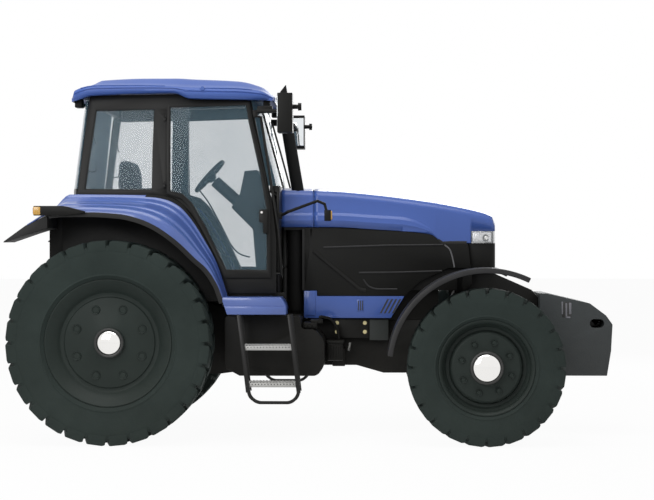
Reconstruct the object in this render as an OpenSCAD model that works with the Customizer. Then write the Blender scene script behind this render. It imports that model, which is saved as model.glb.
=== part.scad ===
// Four-wheel-drive row-crop tractor with a closed cab, a one-piece hood and a front ballast block.
// Millimetres. +X is forward, +Y is the tractor's left, +Z is up.
// The origin is on the ground, halfway along the machine and on its centre line.

/* [Wheels] */
// Distance between the rear and front axles
wheelbase = 3300; // [3250:10:3350]
// Radius of a rear tyre, to the tips of its lugs
rear_tyre_r = 900; // [880:5:910]
// Width of a rear tyre
rear_tyre_w = 470; // [440:5:480]
// Distance between the middles of the rear tyres
rear_track = 1900; // [1890:5:1930]
// Radius of a rear rim, to the edge of its flange
rear_rim_r = 558; // [540:1:570]
// Radius of a front tyre, to the tips of its lugs
front_tyre_r = 690; // [675:5:700]
// Width of a front tyre
front_tyre_w = 380; // [350:5:390]
// Distance between the middles of the front tyres
front_track = 1940; // [1930:5:1970]
// Radius of a front rim, to the edge of its flange
front_rim_r = 420; // [405:1:430]
// Lugs on each side of a rear tyre
rear_lugs = 28; // [22:1:30]
// Lugs on each side of a front tyre
front_lugs = 24; // [18:1:26]
// Height of a lug above the tyre's casing
lug_h = 42; // [30:1:48]
// Radius of the shaft that a wheel turns on
shaft_r = 70; // [60:1:75]

/* [Front axle] */
// Distance of a kingpin from the middle of its wheel, towards the centre line
kingpin_offset = 210; // [205:1:215]
// Radius of a kingpin
kingpin_r = 30; // [24:1:36]
// Radius of the axle tube
axle_tube_r = 85; // [70:1:95]
// Radius of the outside of a front fender
front_fender_r = 868; // [860:1:880]
// Width of a front fender
front_fender_w = 395; // [370:5:400]

/* [Hood] */
// Half of the hood's width at its rear
hood_half_w = 400; // [395:1:410]
// Height of the hood's top at its rear
hood_top_z = 2286; // [2270:1:2288]
// Wall of the hood, cowl and side panels
panel_t = 20; // [15:1:24]
// Length of the fixed cowl ahead of the cab
cowl_len = 290; // [280:1:300]

/* [Cab] */
// Half of the cab's width at its floor
cab_half_w = 795; // [790:1:800]
// Height of the underside of the cab
floor_z = 1322; // [1310:1:1326]
// Height of the seat of the roof on the cab
roof_seat_z = 3113; // [3112:1:3120]
// Lean of the cab's sides towards each other
lean = 3; // [2.5:0.1:3.2]
// Thickness of the cab's posts and rails
post_t = 40; // [34:1:44]
// Thickness of a door
door_t = 36; // [30:1:38]
// Thickness of the window glass
glass_t = 8; // [6:1:10]
// Half of the roof's width
roof_half_w = 830; // [815:1:850]
// Diameter of the steering wheel
steering_wheel_d = 400; // [380:5:420]

/* [Fenders, steps and tanks] */
// Distance of a rear fender's outer edge from the centre line
fender_out_y = 1188; // [1180:1:1195]
// Wall of a rear fender
fender_t = 14; // [10:1:16]
// Width of a step between its rails
step_w = 400; // [380:5:410]
// Distance of the outside of a fuel tank from the centre line
tank_out_y = 740; // [700:5:760]

/* [Exhaust, ballast and mirrors] */
// Radius of the exhaust's lower pipe
muffler_r = 68; // [60:1:70]
// Radius of the exhaust stack
stack_r = 56; // [48:1:60]
// Distance of the mirrors' middles from the centre line
mirror_y = 1270; // [1250:5:1300]
// Half of the width of the ballast block
ballast_half_w = 320; // [300:5:325]

/* [Hitch] */
// Distance between the ball ends of the lower links
link_spread = 870; // [850:5:900]
// Radius of the power take-off shaft
pto_r = 22; // [17.5:0.5:25]

/* [Hidden] */
$fn = 64;

blue = [0.24, 0.36, 0.66];
black = [0.14, 0.14, 0.135];
dark_rubber = [0.19, 0.22, 0.21];
casting = [0.2, 0.2, 0.2];
glass_tint = [0.75, 0.82, 0.86, 0.4];

seat_gap = 0.3;      // gap between pieces that seat on each other
run_gap = 0.05;      // radial gap of a shaft in its bore
wheel_room = 25;     // room between a rear tyre and the cab's wall
move_gap = 6;        // gap between a moving piece and what it passes

rear_x = -1800;
front_x = rear_x + wheelbase;
rear_z = rear_tyre_r;
front_z = front_tyre_r;
rear_y = rear_track / 2;
front_y = front_track / 2;
kingpin_y = front_y - kingpin_offset;

cab_front_x = rear_x + 1450;      // front face of the cab's posts at the floor
firewall_t = 25;
cowl_x0 = cab_front_x + firewall_t + seat_gap;
cowl_x1 = cowl_x0 + cowl_len;
hood_x0 = cowl_x1 + 8;
hood_x1 = front_x + 131;          // foremost point of the hood

// ---------------------------------------------------------------- helpers

// A profile drawn in X and Z, extruded from y0 to y1
module across(y0, y1) translate([0, y1, 0]) rotate([90, 0, 0]) linear_extrude(y1 - y0) children();

// What it is given on the left, and its mirror image on the right
module both_sides() { children(); mirror([0, 1, 0]) children(); }

// A cylinder along Y from y0 to y1
module rod_y(r, y0, y1, x, z) translate([x, y0, z]) rotate([-90, 0, 0]) cylinder(r = r, h = y1 - y0);

module eye(r, y0, y1, at) rod_y(r, y0, y1, at[0], at[1]);

// A cylinder from point a to point b
module rod(a, b, r) {
    d = b - a;
    len = norm(d);
    translate(a) rotate([0, acos(d[2] / len), atan2(d[1], d[0])]) cylinder(r = r, h = len);
}

// A box by its lowest and highest corners
module block(lo, hi) translate(lo) cube(hi - lo);

// A closed solid through rings that have the same number of points. The points of a ring's second half
// lie opposite those of its first half, in reverse, so strips between them close the two ends.
module loft(rings) {
    n = len(rings[0]);
    m = len(rings);
    e = (m - 1) * n;
    faces = [
        for (i = [0 : m - 2]) for (j = [0 : n - 1]) each [
            [i * n + j, (i + 1) * n + j, (i + 1) * n + (j + 1) % n],
            [i * n + j, (i + 1) * n + (j + 1) % n, i * n + (j + 1) % n],
        ],
        for (i = [0 : floor(n / 2) - 1]) each concat(
            i + 1 < n - 2 - i ? [[i, i + 1, n - 2 - i], [e + i, e + n - 2 - i, e + i + 1]] : [],
            i < n - 2 - i ? [[i, n - 2 - i, n - 1 - i], [e + i, e + n - 1 - i, e + n - 2 - i]] : []
        ),
    ];
    polyhedron([for (ring = rings) each ring], faces);
}

// Round bar bent through points, with n flats
module bent_rod(points, r, n = 12) loft([for (i = [0 : len(points) - 1]) bar_ring(points, i, r, n)]);
function bar_ring(points, i, r, n) = let (
    back = points[max(i, 1)] - points[max(i, 1) - 1],
    ahead = i < len(points) - 1 ? points[i + 1] - points[i] : back,
    d = unit(unit(back) + unit(ahead)),
    u = unit(cross(d, [-0.5, 0.3, 0.8])),
    v = cross(d, u)
) [for (k = [0 : n - 1]) points[i] + r * (cos(360 * k / n) * u + sin(360 * k / n) * v)];
function unit(v) = v / norm(v);

function sum(v, i = 0) = i < len(v) ? v[i] + sum(v, i + 1) : 0;
// A flat outline drawn in towards its middle, by about d
function shrink(pts, d) = let (
    c = [sum([for (p = pts) p[0]]), sum([for (p = pts) p[1]])] / len(pts),
    reach = max([for (p = pts) norm(p - c)])
) [for (p = pts) c + (p - c) * (1 - d / reach)];
function column(table, k) = [for (row = table) [row[0], row[k]]];

// ---------------------------------------------------------------- wheels

// Tyre about the Y axis, its middle at the origin, as one closed skin. Its rows of points run round the
// tyre: two points a lug along the walls, and four along the tread, where a lug rises between the first two.
module tyre(r, w, rim_r, bead_half_w, lugs) {
    casing_r = r - lug_h;
    wall = r - rim_r;
    n = 2 * lugs;
    // The middle of a lug's tip is a flat that is r from the axle
    tip_half = 0.18;
    tip_r = r / cos(tip_half * 360 / lugs);
    // Columns: radius, distance from the tyre's middle plane
    walls = [
        [(rim_r + seat_gap) / cos(180 / n), bead_half_w + 5], [rim_r + 0.26 * wall, 0.492 * w],
        [rim_r + 0.64 * wall, 0.498 * w],
    ];
    // Columns: radius and distance from the middle plane between lugs, the same on a lug, half width of a lug
    // and of the flat between two, in lug pitches, and how far it trails the tread's middle
    tread = [
        [casing_r - 20, 0.452 * w, r - 12, 0.486 * w, 0.3, 0.11, 0.5],
        [casing_r, 0.02 * w, tip_r, 0.02 * w, tip_half, 0.23, 0],
    ];
    points = [
        each wall_row(1, walls[0], lugs), each wall_row(1, walls[1], lugs), each wall_row(1, walls[2], lugs),
        each tread_row(1, tread[0], lugs), each tread_row(1, tread[1], lugs),
        each tread_row(-1, tread[1], lugs), each tread_row(-1, tread[0], lugs),
        each wall_row(-1, walls[2], lugs), each wall_row(-1, walls[1], lugs), each wall_row(-1, walls[0], lugs),
    ];
    color(dark_rubber) polyhedron(points, [
        each band(0, n, n, 1), each band(n, n, 2 * n, 1), each band(2 * n, n, 3 * n, 2),
        each band(3 * n, 2 * n, 5 * n, 1), each band(5 * n, 2 * n, 7 * n, 1), each band(7 * n, 2 * n, 9 * n, 1),
        each flipped(band(11 * n, n, 9 * n, 2)),
        each band(11 * n, n, 12 * n, 1), each band(12 * n, n, 13 * n, 1), each band(13 * n, n, 0, 1),
    ]);
}

function wall_row(side, row, lugs) = [for (i = [0 : 2 * lugs - 1]) on_tyre((i + 1) / 2 / lugs, row[0], side * row[1])];
function tread_row(side, row, lugs) = [for (i = [0 : lugs - 1], k = [0 : 3]) let (
    up = side > 0 ? k < 2 : k > 1,
    half = up ? row[4] : row[5],
    phase = (k < 2 ? 0 : 0.5) + (k % 2 == 0 ? -half : half)
) on_tyre((i + phase + row[6]) / lugs, up ? row[2] : row[0], side * (up ? row[3] : row[1]))];
// A point that is a share of a turn forwards from the tyre's lowest point
function on_tyre(turn, r, y) = [r * sin(360 * turn), y, -r * cos(360 * turn)];

// Faces between two closed rows of points that start at a and b, where row b has k points for each of the n of row a
function band(a, n, b, k) = [for (i = [0 : n - 1]) each [
    [a + i, a + (i + 1) % n, b + ((i + 1) * k) % (n * k)],
    for (j = [0 : k - 1]) [a + i, b + (i * k + j + 1) % (n * k), b + i * k + j],
]];
function flipped(faces) = [for (f = faces) [f[2], f[1], f[0]]];

// Rear rim and its hub cap about the Y axis; distances along it run outwards from the tyre's middle plane
module rear_rim() {
    f = rear_rim_r;
    color(dark_rubber) rotate([-90, 0, 0]) rotate_extrude() polygon([
        [0, 184], [45, 180], [80, 169], [105, 150], [134, 150],
        [134, 108], [396, 108], [404, 96], [436, 96], [f - 96, 128],
        [f - 10, 200], [f, 200], [f, 190], [f - 25, 186], [f - 25, 120], [f - 58, 90], [f - 58, -90],
        [f - 25, -120], [f - 25, -186], [f, -190], [f, -200], [f - 13, -200], [f - 40, -182],
        [f - 40, -112], [f - 72, -82], [f - 72, 70], [440, 74], [400, 74], [390, 86], [160, 86],
        [150, 30], [shaft_r + run_gap, 30], [shaft_r + run_gap, 120], [0, 120],
    ]);
}

// Front rim about the Y axis, as the rear one
module front_rim() {
    f = front_rim_r;
    color(dark_rubber) rotate([-90, 0, 0]) rotate_extrude() polygon([
        [0, 199], [52, 194], [92, 182], [120, 165], [139, 165],
        [139, 118], [290, 118], [310, 106], [324, 62], [f - 68, 62], [f - 60, 80],
        [f - 35, 104], [f - 32, 150], [f - 11, 170], [f, 170], [f, 160], [f - 25, 156], [f - 25, 100],
        [f - 50, 72], [f - 50, -72], [f - 25, -100], [f - 25, -156], [f, -160], [f, -170],
        [f - 11, -170], [f - 36, -152], [f - 36, -95], [f - 62, -68], [f - 62, 30], [314, 40],
        [300, 84], [286, 96], [160, 96], [150, 20], [shaft_r + run_gap, 20], [shaft_r + run_gap, 130],
        [0, 130],
    ]);
}

module place_rear() translate([rear_x, rear_y, rear_z]) children();
module place_front() translate([front_x, front_y, front_z]) children();

// ---------------------------------------------------------------- backbone

frame_half_w = 190;
frame_top_z = 1060;
axle_room_z = 870;     // underside of the frame over the front axle

module chassis_frame() color(casting) {
    across(-frame_half_w, frame_half_w) polygon([
        [-300, 700], [-300, frame_top_z], [front_x - 350, frame_top_z], [front_x - 200, 1380],
        [front_x - 100, 1530], [front_x + 140, 1490], [front_x + 480, 1340], [front_x + 540, 1270],
        [front_x + 540, 760], [front_x + 260, 760], [front_x + 250, axle_room_z],
        [front_x - 250, axle_room_z], [front_x - 300, 640], [front_x - 690, 569], [front_x - 890, 569],
        [front_x - 1140, 640], [-300, 640],
    ]);
    // Small tank bracket on each side
    both_sides() block([139, frame_half_w - 5, 640], [257, 330, 800]);
}

module transmission() color(casting) difference() {
    union() {
        across(-220, 220) polygon([
            [-300 - seat_gap, 640], [-300 - seat_gap, 1180], [-900, 1180], [-1100, 1240], [gearbox_x0 + 30, 1240],
            [gearbox_x0, 1180], [gearbox_x0, 640], [gearbox_x0 + 130, 560], [-900, 560],
        ]);
        both_sides() rod_y(link_pin_r, 215, 275, lower_pin[0], lower_pin[1]);
        // Power take-off shaft under its guard, the oil couplers' block, and the ears for the top link
        rod([gearbox_x0 + 20, 0, pto_z], [gearbox_x0 - pto_len, 0, pto_z], pto_r);
        block([pto_guard_x0, -pto_guard_w, pto_guard_z], [gearbox_x0 + 5, pto_guard_w, pto_guard_z + guard_sheet]);
        both_sides() block([pto_guard_x0, pto_guard_w - guard_sheet, pto_guard_z - 70],
            [gearbox_x0 + 5, pto_guard_w, pto_guard_z + 5]);
        block([coupler_x - coupler_depth, -coupler_block_w, 1050], [gearbox_x0 + 20, coupler_block_w, 1180]);
        for (y = [-1.5 : 1 : 1.5], z = coupler_rows)
            rod([coupler_x, y * coupler_pitch, z], [coupler_x - coupler_len, y * coupler_pitch, z], coupler_r);
        both_sides() across(top_ear_y0, top_ear_y1) {
            translate(top_link_pin) circle(r = 34);
            translate([top_link_pin[0], top_link_pin[1] - 34]) square([gearbox_x0 + 20 - top_link_pin[0], 68]);
        }
    }
    rod_y(arm_pivot_r + run_gap, -300, 300, arm_pin[0], arm_pin[1]);
    eye(top_pin_r, -100, 100, top_link_pin);
}

module rear_axle() color(casting) both_sides() union() {
    rod_y(150, 220 + seat_gap, 520, rear_x, rear_z);
    rod_y(185, 520, 560, rear_x, rear_z);
    rod_y(130, 560, rear_y - 5, rear_x, rear_z);
    rod_y(shaft_r, rear_y - 5, rear_y + 119, rear_x, rear_z);
}

module engine_block() color(casting) union() {
    block([-90, -frame_half_w, frame_top_z + seat_gap], [front_x - 380, frame_half_w, 1620]);
    // Brackets that carry the lower shields
    for (x = [60, 420]) both_sides() block([x, frame_half_w - 5, 1150], [x + 60, shield_y - seat_gap, 1210]);
}

// ---------------------------------------------------------------- front axle

ear_z0 = 122;    // from the axle's middle to an ear's inner face
ear_t = 30;

module front_axle() color(casting) {
    union() {
        rod_y(axle_tube_r, -kingpin_y + 120, kingpin_y - 120, front_x, front_z);
        rod_y(165, -120, 120, front_x, front_z);
        block([front_x - 120, -90, front_z + 60], [front_x + 120, 90, axle_room_z - seat_gap]);
        both_sides() difference() {
            union() {
                block([front_x - 75, kingpin_y - 150, front_z - ear_z0 - ear_t],
                      [front_x + 75, kingpin_y - 100, front_z + ear_z0 + ear_t]);
                for (z = [-ear_z0 - ear_t, ear_z0]) translate([0, 0, front_z + z]) {
                    translate([front_x, kingpin_y, 0]) cylinder(r = 75, h = ear_t);
                    block([front_x - 75, kingpin_y - 150, 0], [front_x + 75, kingpin_y, ear_t]);
                }
            }
            translate([front_x, kingpin_y, front_z - 300]) cylinder(r = kingpin_r + run_gap, h = 600);
        }
    }
}

fender_y0 = front_y - front_tyre_w / 2 - 10;
fender_sheet_t = 18;
fender_in_r = front_fender_r - fender_sheet_t;

module knuckle() color(casting) union() {
    translate([front_x, kingpin_y, front_z]) {
        cylinder(r = 84, h = 2 * (ear_z0 - move_gap), center = true);
        cylinder(r = kingpin_r, h = 2 * (ear_z0 + ear_t), center = true);
    }
    rod_y(110, kingpin_y, front_y + 14, front_x, front_z);
    rod_y(shaft_r, front_y, front_y + 129, front_x, front_z);
    // Steering arm, and the post and shelf that carry the fender
    arm_y0 = fender_y0 - 32;
    block([front_x - 240, arm_y0, front_z - 60], [front_x - 40, fender_y0, front_z + 20]);
    post_x = -240;
    post_z1 = front_z + sqrt(pow(fender_in_r - 1, 2) - pow(post_x, 2));
    block([front_x + post_x, arm_y0, front_z - 60], [front_x + post_x + 50, fender_y0, post_z1]);
    translate([front_x, 0, front_z]) across(arm_y0, front_y + 60)
        arc_sector(fender_in_r - seat_gap, fender_in_r - 30, 100, 109);
}

module arc_sector(r_out, r_in, a0, a1) difference() {
    intersection() {
        circle(r = r_out);
        polygon([[0, 0], for (i = [0 : 4]) 2 * r_out * [cos(a0 + (a1 - a0) * i / 4), sin(a0 + (a1 - a0) * i / 4)]]);
    }
    circle(r = r_in);
}

fender_y1 = fender_y0 + front_fender_w;
module front_fender() color(black) translate([front_x, 0, front_z]) rotate([90, 0, 0]) rotate([0, 0, 64])
    rotate_extrude(angle = 109) polygon([
        [fender_in_r, -fender_y0], [front_fender_r, -fender_y0], [front_fender_r, -fender_y1],
        [front_fender_r - 46, -fender_y1], [front_fender_r - 46, 18 - fender_y1], [fender_in_r, 18 - fender_y1],
    ]);

// ---------------------------------------------------------------- ballast

module ballast_block() color(casting) difference() {
    across(-ballast_half_w, ballast_half_w) polygon([
        [front_x + 540 + seat_gap, 1311], [front_x + 614, 1311], [front_x + 1001, 1219], [front_x + 1148, 1109],
        [front_x + 1207, 1026], [front_x + 1194, 786], [front_x + 1157, 556], [front_x + 640, 556],
        [front_x + 540 + seat_gap, 700],
    ]);
    // Lifting slot through the block
    across(-500, 500) {
        translate([front_x + 1040, 1035]) circle(r = 40);
        translate([front_x + 1090, 1035]) circle(r = 40);
        translate([front_x + 1040, 995]) square([50, 80]);
    }
}

// ---------------------------------------------------------------- hood, cowl and side panels

shield_y = hood_half_w - panel_t - 10;

// Columns: place along cowl and hood from 0 to 1, half width, lower edge below the top at the rear, top below it
hood_table = [
    [0,     0,   367, 0],
    [0.236, 0,   367, 12],
    [0.43,  3,   388, 44],
    [0.59,  8,   408, 82],
    [0.70,  12,  424, 112],
    [0.775, 16,  480, 136],
    [0.80,  18,  514, 144],
    [0.925, 28,  514, 200],
    [0.985, 40,  514, 244],
    [1,     58,  514, 300],
];
hood_len = hood_x1 - cowl_x0;
shoulder_r = 70;

// Ring of the hood's section at share s of its length, drawn in by d
function hood_ring(s, d, drop = 0) = let (
    x = cowl_x0 + s * hood_len,
    w = hood_half_w - lookup(s, column(hood_table, 1)) - d,
    z0 = hood_top_z - lookup(s, column(hood_table, 2)) - drop,
    z1 = hood_top_z - lookup(s, column(hood_table, 3)) - d,
    side = w - 22,
    swage_z = min(z1 - shoulder_r - 30, z0 + 130),
    half = [
        [w, z0], [w, swage_z - 40], [side, swage_z],
        for (a = [0 : 30 : 90]) [side - shoulder_r * (1 - cos(a)), z1 - 24 - shoulder_r * (1 - sin(a))],
        [side / 2, z1 - 6],
    ]
) [for (p = half) [x, p[0], p[1]], [x, 0, z1], for (i = [len(half) - 1 : -1 : 0]) [x, -half[i][0], half[i][1]]];

// Solid under the hood's outer skin, from share s0 to s1, drawn in by d
module hood_solid(s0, s1, d, drop = 0) loft([
    hood_ring(s0, d, drop),
    for (row = hood_table) if (row[0] > s0 + 0.001 && row[0] < s1 - 0.001) hood_ring(row[0], d, drop),
    hood_ring(s1, d, drop),
]);

lamp_z1 = hood_top_z - 404;
nose_z1 = hood_top_z - 514;
lamp_x0 = hood_x1 - 219;
lamp_in_y = 205;

hood_pin_x = hood_x0 + 14;
hood_pin_z = hood_top_z - 58;
hood_pin_r = 8;
hood_hinge_y = 150;

module cowl() color(blue) difference() {
    union() {
        difference() {
            hood_solid(0, cowl_len / hood_len, 0);
            hood_solid(-0.1, 1.1, panel_t, 100);
            // Room for the hood's rear edge as it swings
            intersection() {
                eye(norm([hood_pin_x - hood_x0, hood_top_z - hood_pin_z]) + move_gap, -500, 500, [hood_pin_x, hood_pin_z]);
                block([hood_x0 - 100, -500, hood_pin_z + 2], [hood_x0, 500, hood_top_z + 20]);
            }
        }
        // Arms that carry the hood's hinge pins
        both_sides() {
            block([cowl_x1 - 120, hood_hinge_y, hood_pin_z - 26], [cowl_x1 - 50, hood_hinge_y + 25, hood_top_z - 15]);
            block([cowl_x1 - 120, hood_hinge_y, hood_pin_z - 26], [hood_pin_x, hood_hinge_y + 25, hood_pin_z - 7]);
            eye(13, hood_hinge_y, hood_hinge_y + 25, [hood_pin_x, hood_pin_z]);
            eye(hood_pin_r, hood_hinge_y - 14, hood_hinge_y + 39, [hood_pin_x, hood_pin_z]);
        }
    }
    stack_bore(stack_r + 4);
}

module hood_shell() color(blue) difference() {
    union() {
        difference() {
            hood_solid((hood_x0 - cowl_x0) / hood_len, 1, 0);
            translate([-panel_t, 0, 0]) hood_solid(0, 1, panel_t, 100);
        }
        // Ears on the hinge pins
        both_sides() for (y = [hood_hinge_y - 13, hood_hinge_y + 26])
            block([hood_x0, y, hood_pin_z - 14], [hood_x0 + 28, y + 12, hood_top_z - 15]);
    }
    block([lamp_x0, -500, nose_z1 - 50], [hood_x1 + 50, 500, lamp_z1]);
    both_sides() eye(hood_pin_r + run_gap, hood_hinge_y - 20, hood_hinge_y + 45, [hood_pin_x, hood_pin_z]);
}

module headlamps() color([0.85, 0.85, 0.87]) both_sides() intersection() {
    hood_solid(0.5, 1, 2);
    block([lamp_x0 + 2, lamp_in_y, nose_z1], [hood_x1 + 50, 500, lamp_z1 - seat_gap]);
}

nose_x0 = hood_x1 - 236;
nose_z0 = 1542;
nose_half_w = 335;

module nose_plan(half_w, x1, r) {
    translate([nose_x0, -half_w]) square([x1 - r - nose_x0, 2 * half_w]);
    translate([nose_x0, -half_w + r]) square([x1 - nose_x0, 2 * (half_w - r)]);
    for (y = [-half_w + r, half_w - r]) translate([x1 - r, y]) circle(r = r);
}

module grille() color(black) difference() {
    union() {
        translate([0, 0, nose_z0]) linear_extrude(nose_z1 - seat_gap - nose_z0) difference() {
            nose_plan(nose_half_w, hood_x1 + 5, 60);
            translate([-1, 0]) nose_plan(nose_half_w - panel_t, hood_x1 + 5 - panel_t, 40);
        }
        block([hood_x1 - 60, -lamp_in_y + seat_gap, nose_z1 - 1], [hood_x1 - 4, lamp_in_y - seat_gap, lamp_z1 - seat_gap]);
    }
    // Air slots
    for (z = [nose_z0 + 30 : 42 : lamp_z1 - 40])
        block([hood_x1 - 80, -180, z], [hood_x1 + 50, 180, z + 22]);
}

panel_x0 = -118;
panel_x1 = nose_x0 - move_gap - 6;
panel_z0 = 1336;
function hood_low_z(x) = hood_top_z - lookup((x - cowl_x0) / hood_len, column(hood_table, 2));

module side_panels() color(black) both_sides() {
    across(shield_y, shield_y + panel_t) polygon([
        [panel_x0, panel_z0], for (s = [0.14, 0.236, 0.43, 0.59, 0.70, 0.775]) let (x = cowl_x0 + s * hood_len)
            [x, hood_low_z(x) - move_gap], [cowl_x0 + 0.80 * hood_len, nose_z1 - move_gap],
        [panel_x1, nose_z1 - move_gap], [panel_x1 + 40, 1545], [front_x - 300, 1545], [front_x - 560, 1420],
        [front_x - 690, panel_z0],
    ]);
    // Raised ribs
    across(shield_y + panel_t - 1, shield_y + panel_t + 6) {
        polygon([[201, 1735], [panel_x1 - 60, 1752], [panel_x1 - 60, 1764], [201, 1747]]);
        polygon([[640, 1510], [front_x - 330, 1556], [front_x - 330, 1568], [640, 1522]]);
    }
    // Ties to the engine
    for (x = [100, 800]) block([x, frame_half_w + seat_gap, 1560], [x + 50, shield_y + 1, 1600]);
}

module lower_shields() color(blue) both_sides() difference() {
    across(shield_y, shield_y + panel_t) polygon([
        [panel_x0, 1086], [panel_x0, panel_z0 + 4], [0, panel_z0 + 4], [0, panel_z0 - 3],
        [front_x - 823, panel_z0 - 3], [front_x - 942, 1086],
    ]);
    // Louvres
    across(shield_y - 5, shield_y + panel_t + 5) for (i = [0 : 3]) translate([front_x - 936 + 36 * i, 1116])
        polygon([[0, 0], [14, 0], [84, 170], [70, 170]]);
    block([-200, shield_y - 5, panel_z0 - 3], [0, shield_y + panel_t + 5, panel_z0 + 10]);
}

// ---------------------------------------------------------------- exhaust

exhaust_y = -290;
tank_top_z = 1120;
muffler_x = -206;
stack_foot = [-158, exhaust_y, 2130];
stack_top = [-352, exhaust_y, 3270];
module stack_bore(r) rod(stack_foot, stack_top, r);

module exhaust() color(black) {
    difference() {
        union() {
            translate([muffler_x, exhaust_y, 1153]) cylinder(r = muffler_r, h = 1960 - 1153);
            translate([muffler_x, exhaust_y, tank_top_z + seat_gap]) cylinder(r = 50, h = 60);
            rod([muffler_x, exhaust_y, 1900], stack_foot, stack_r - 6);
            rod(stack_foot, stack_top, stack_r);
        }
        // Slanted mouth
        rod([-306, exhaust_y, 3000], stack_top, stack_r - 6);
        translate([-392, exhaust_y, 3088]) rotate([0, -54, 0]) block([-80, -100, 0], [300, 100, 400]);
    }
    block([muffler_x + 40, exhaust_y - 10, 1400], [-40, exhaust_y + 10, 1440]);
    block([-80, exhaust_y - 10, 1400], [-40, -frame_half_w - seat_gap, 1440]);
}

// ---------------------------------------------------------------- cab

// Places its children, or a profile drawn in X and Z, against the leaning plane of the cab's left side
module on_side() translate([0, cab_half_w, floor_z]) rotate([lean, 0, 0]) translate([0, 0, -floor_z]) children();
module side_plane(o0, o1) on_side() across(o0, o1) children();

// Columns: X and Z of the rear fender's inner edge, X and Z of its outer lip, Y of that lip
fender_table = [
    [-2500, 1962, -2500, 1932, fender_out_y],
    [-2330, 2090, -2320, 2022, fender_out_y],
    [-2190, 2208, -2180, 2036, fender_out_y],
    [-1900, 2206, -1950, 2038, fender_out_y],
    [-1600, 2202, -1690, 2022, fender_out_y],
    [-1440, 2198, -1530, 1985, fender_out_y],
    [-1325, 2180, -1409, 1935, fender_out_y - 8],
    [-1214, 2126, -1290, 1860, fender_out_y - 32],
    [-1116, 2021, -1171, 1760, fender_out_y - 92],
    [-988,  1816, -1060, 1645, fender_out_y - 152],
    [-869,  1580, -950,  1540, fender_out_y - 190],
    [-805,  1375, -860,  1400, fender_out_y - 205],
    [-783,  1300, -805,  1250, fender_out_y - 210],
];

cab_rear_top_x = -2031;
cab_rear_low_x = -2140;
waist_z = 2212;
pillar_b_x0 = -1458;
pillar_b_x1 = -1336;
pillar_a_top_x = -572;
pillar_a_waist_x = -394;
header_z = 2990;

quarter_outline = [[-1974, 2967], [pillar_b_x0 + 5, 2979], [pillar_b_x0 - 10, 2251], [-2071, 2258]];
door_hinge_x = pillar_b_x1 + 4;
door_glass_outline = [
    [-1303, 2990], [-622, 3012], [-594, 2855], [-492, 2420], [-434, 2083], [-430, 1530],
    [-796, 1530], [-860, 1666], [-976, 1903], [-1104, 2124], [-1190, 2208], [-1303, 2240],
];
door_outline = [
    [-1332, 3012], [-592, 3036], [-562, 2860], [-460, 2420], [-402, 2083], [-396, 1462],
    [-815, 1462], [-890, 1650], [-1006, 1885], [-1122, 2090], [-1200, 2172], [-1332, 2212],
];

// Place along the leaning side of a point at height z, and of a lower edge that seats there
function leaned(z) = floor_z + (z - floor_z) / cos(lean);
function seated(z) = leaned(z + seat_gap + post_t * sin(lean));

module side_frame() side_plane(-post_t, 0) difference() {
    polygon([
        [cab_rear_top_x, roof_seat_z - 12], [-1336, leaned(roof_seat_z - 3 - seat_gap)],
        [-600, leaned(roof_seat_z - 3 - seat_gap)],
        [pillar_a_top_x, 3013], [pillar_a_waist_x, 2157], [cab_front_x, 1800], [cab_front_x, seated(floor_z)],
        [-772, seated(floor_z)],
        for (i = [11 : -1 : 3]) [fender_table[i][0] + 0.4, seated(fender_table[i][1])],
        [cab_rear_low_x - 10, seated(2208)], [cab_rear_low_x, 2229],
    ]);
    polygon(quarter_outline);
    polygon([
        [-1306, 2970], [-632, 2992], [-600, 2850], [-504, 2420], [-446, 2083], [-442, 1500],
        [-775, 1500], [-850, 1655], [-966, 1900], [-1094, 2122], [-1185, 2214], [-1306, 2250],
    ]);
}

function side_y(z) = cab_half_w - (z - floor_z) * tan(lean);
hinge_x = -1345;
hinge_o = 25;
door_pin_r = 8;
hinge_zs = [2300, 2900];

// Distance from the centre line at which a piece between the cab's sides ends, at height z
function inner_y(z) = side_y(z) - post_t / cos(lean) - seat_gap;

module cab_sides() color(black) both_sides() {
    side_frame();
    on_side() {
        // Door hinges
        for (z = hinge_zs) {
            block([hinge_x - 17, -5, z - 30], [hinge_x + 5, hinge_o + 8, z - 6]);
            translate([hinge_x, hinge_o, z - 10]) cylinder(r = door_pin_r, h = 34);
        }
        // Foot of the mirror's arm
        block([-563, -2.5, 2900], [mirror_foot_x, 16, 2965]);
    }
}
mirror_foot_x = -520;

// Piece from one side of the cab to the other
module cross_piece(x0, x1, z0, z1) translate([x0, 0, 0]) rotate([90, 0, 90]) linear_extrude(x1 - x0)
    polygon([[-inner_y(z0), z0], [inner_y(z0), z0], [inner_y(z1), z1], [-inner_y(z1), z1]]);

module cab_frame() color(black) {
    // Headers
    cross_piece(-650, pillar_a_top_x - 26, header_z + 20, roof_seat_z - 8);
    cross_piece(cab_rear_top_x + 6, cab_rear_top_x + 60, header_z + 10, roof_seat_z - 14);
    // Firewall with the sill of the windscreen
    cross_piece(cab_front_x - 62, cab_front_x + firewall_t, 2225, 2286.7);
    block([cab_front_x + seat_gap, -hood_half_w - 330, floor_z + 1], [cab_front_x + firewall_t, hood_half_w + 330, 2230]);
    // Rear sill
    cross_piece(cab_rear_low_x - 12, cab_rear_low_x + 60, waist_z + 4, waist_z + 50);
    translate([cab_rear_low_x - 11, 0, waist_z + 4]) rotate([0, 0, 180]) linear_extrude(46)
        bow_area(side_y(waist_z) - 14, rear_bow - 9);
}

inner_wall_y1 = rear_y - rear_tyre_w / 2 - wheel_room;
inner_wall_y0 = inner_wall_y1 - 30;

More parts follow.
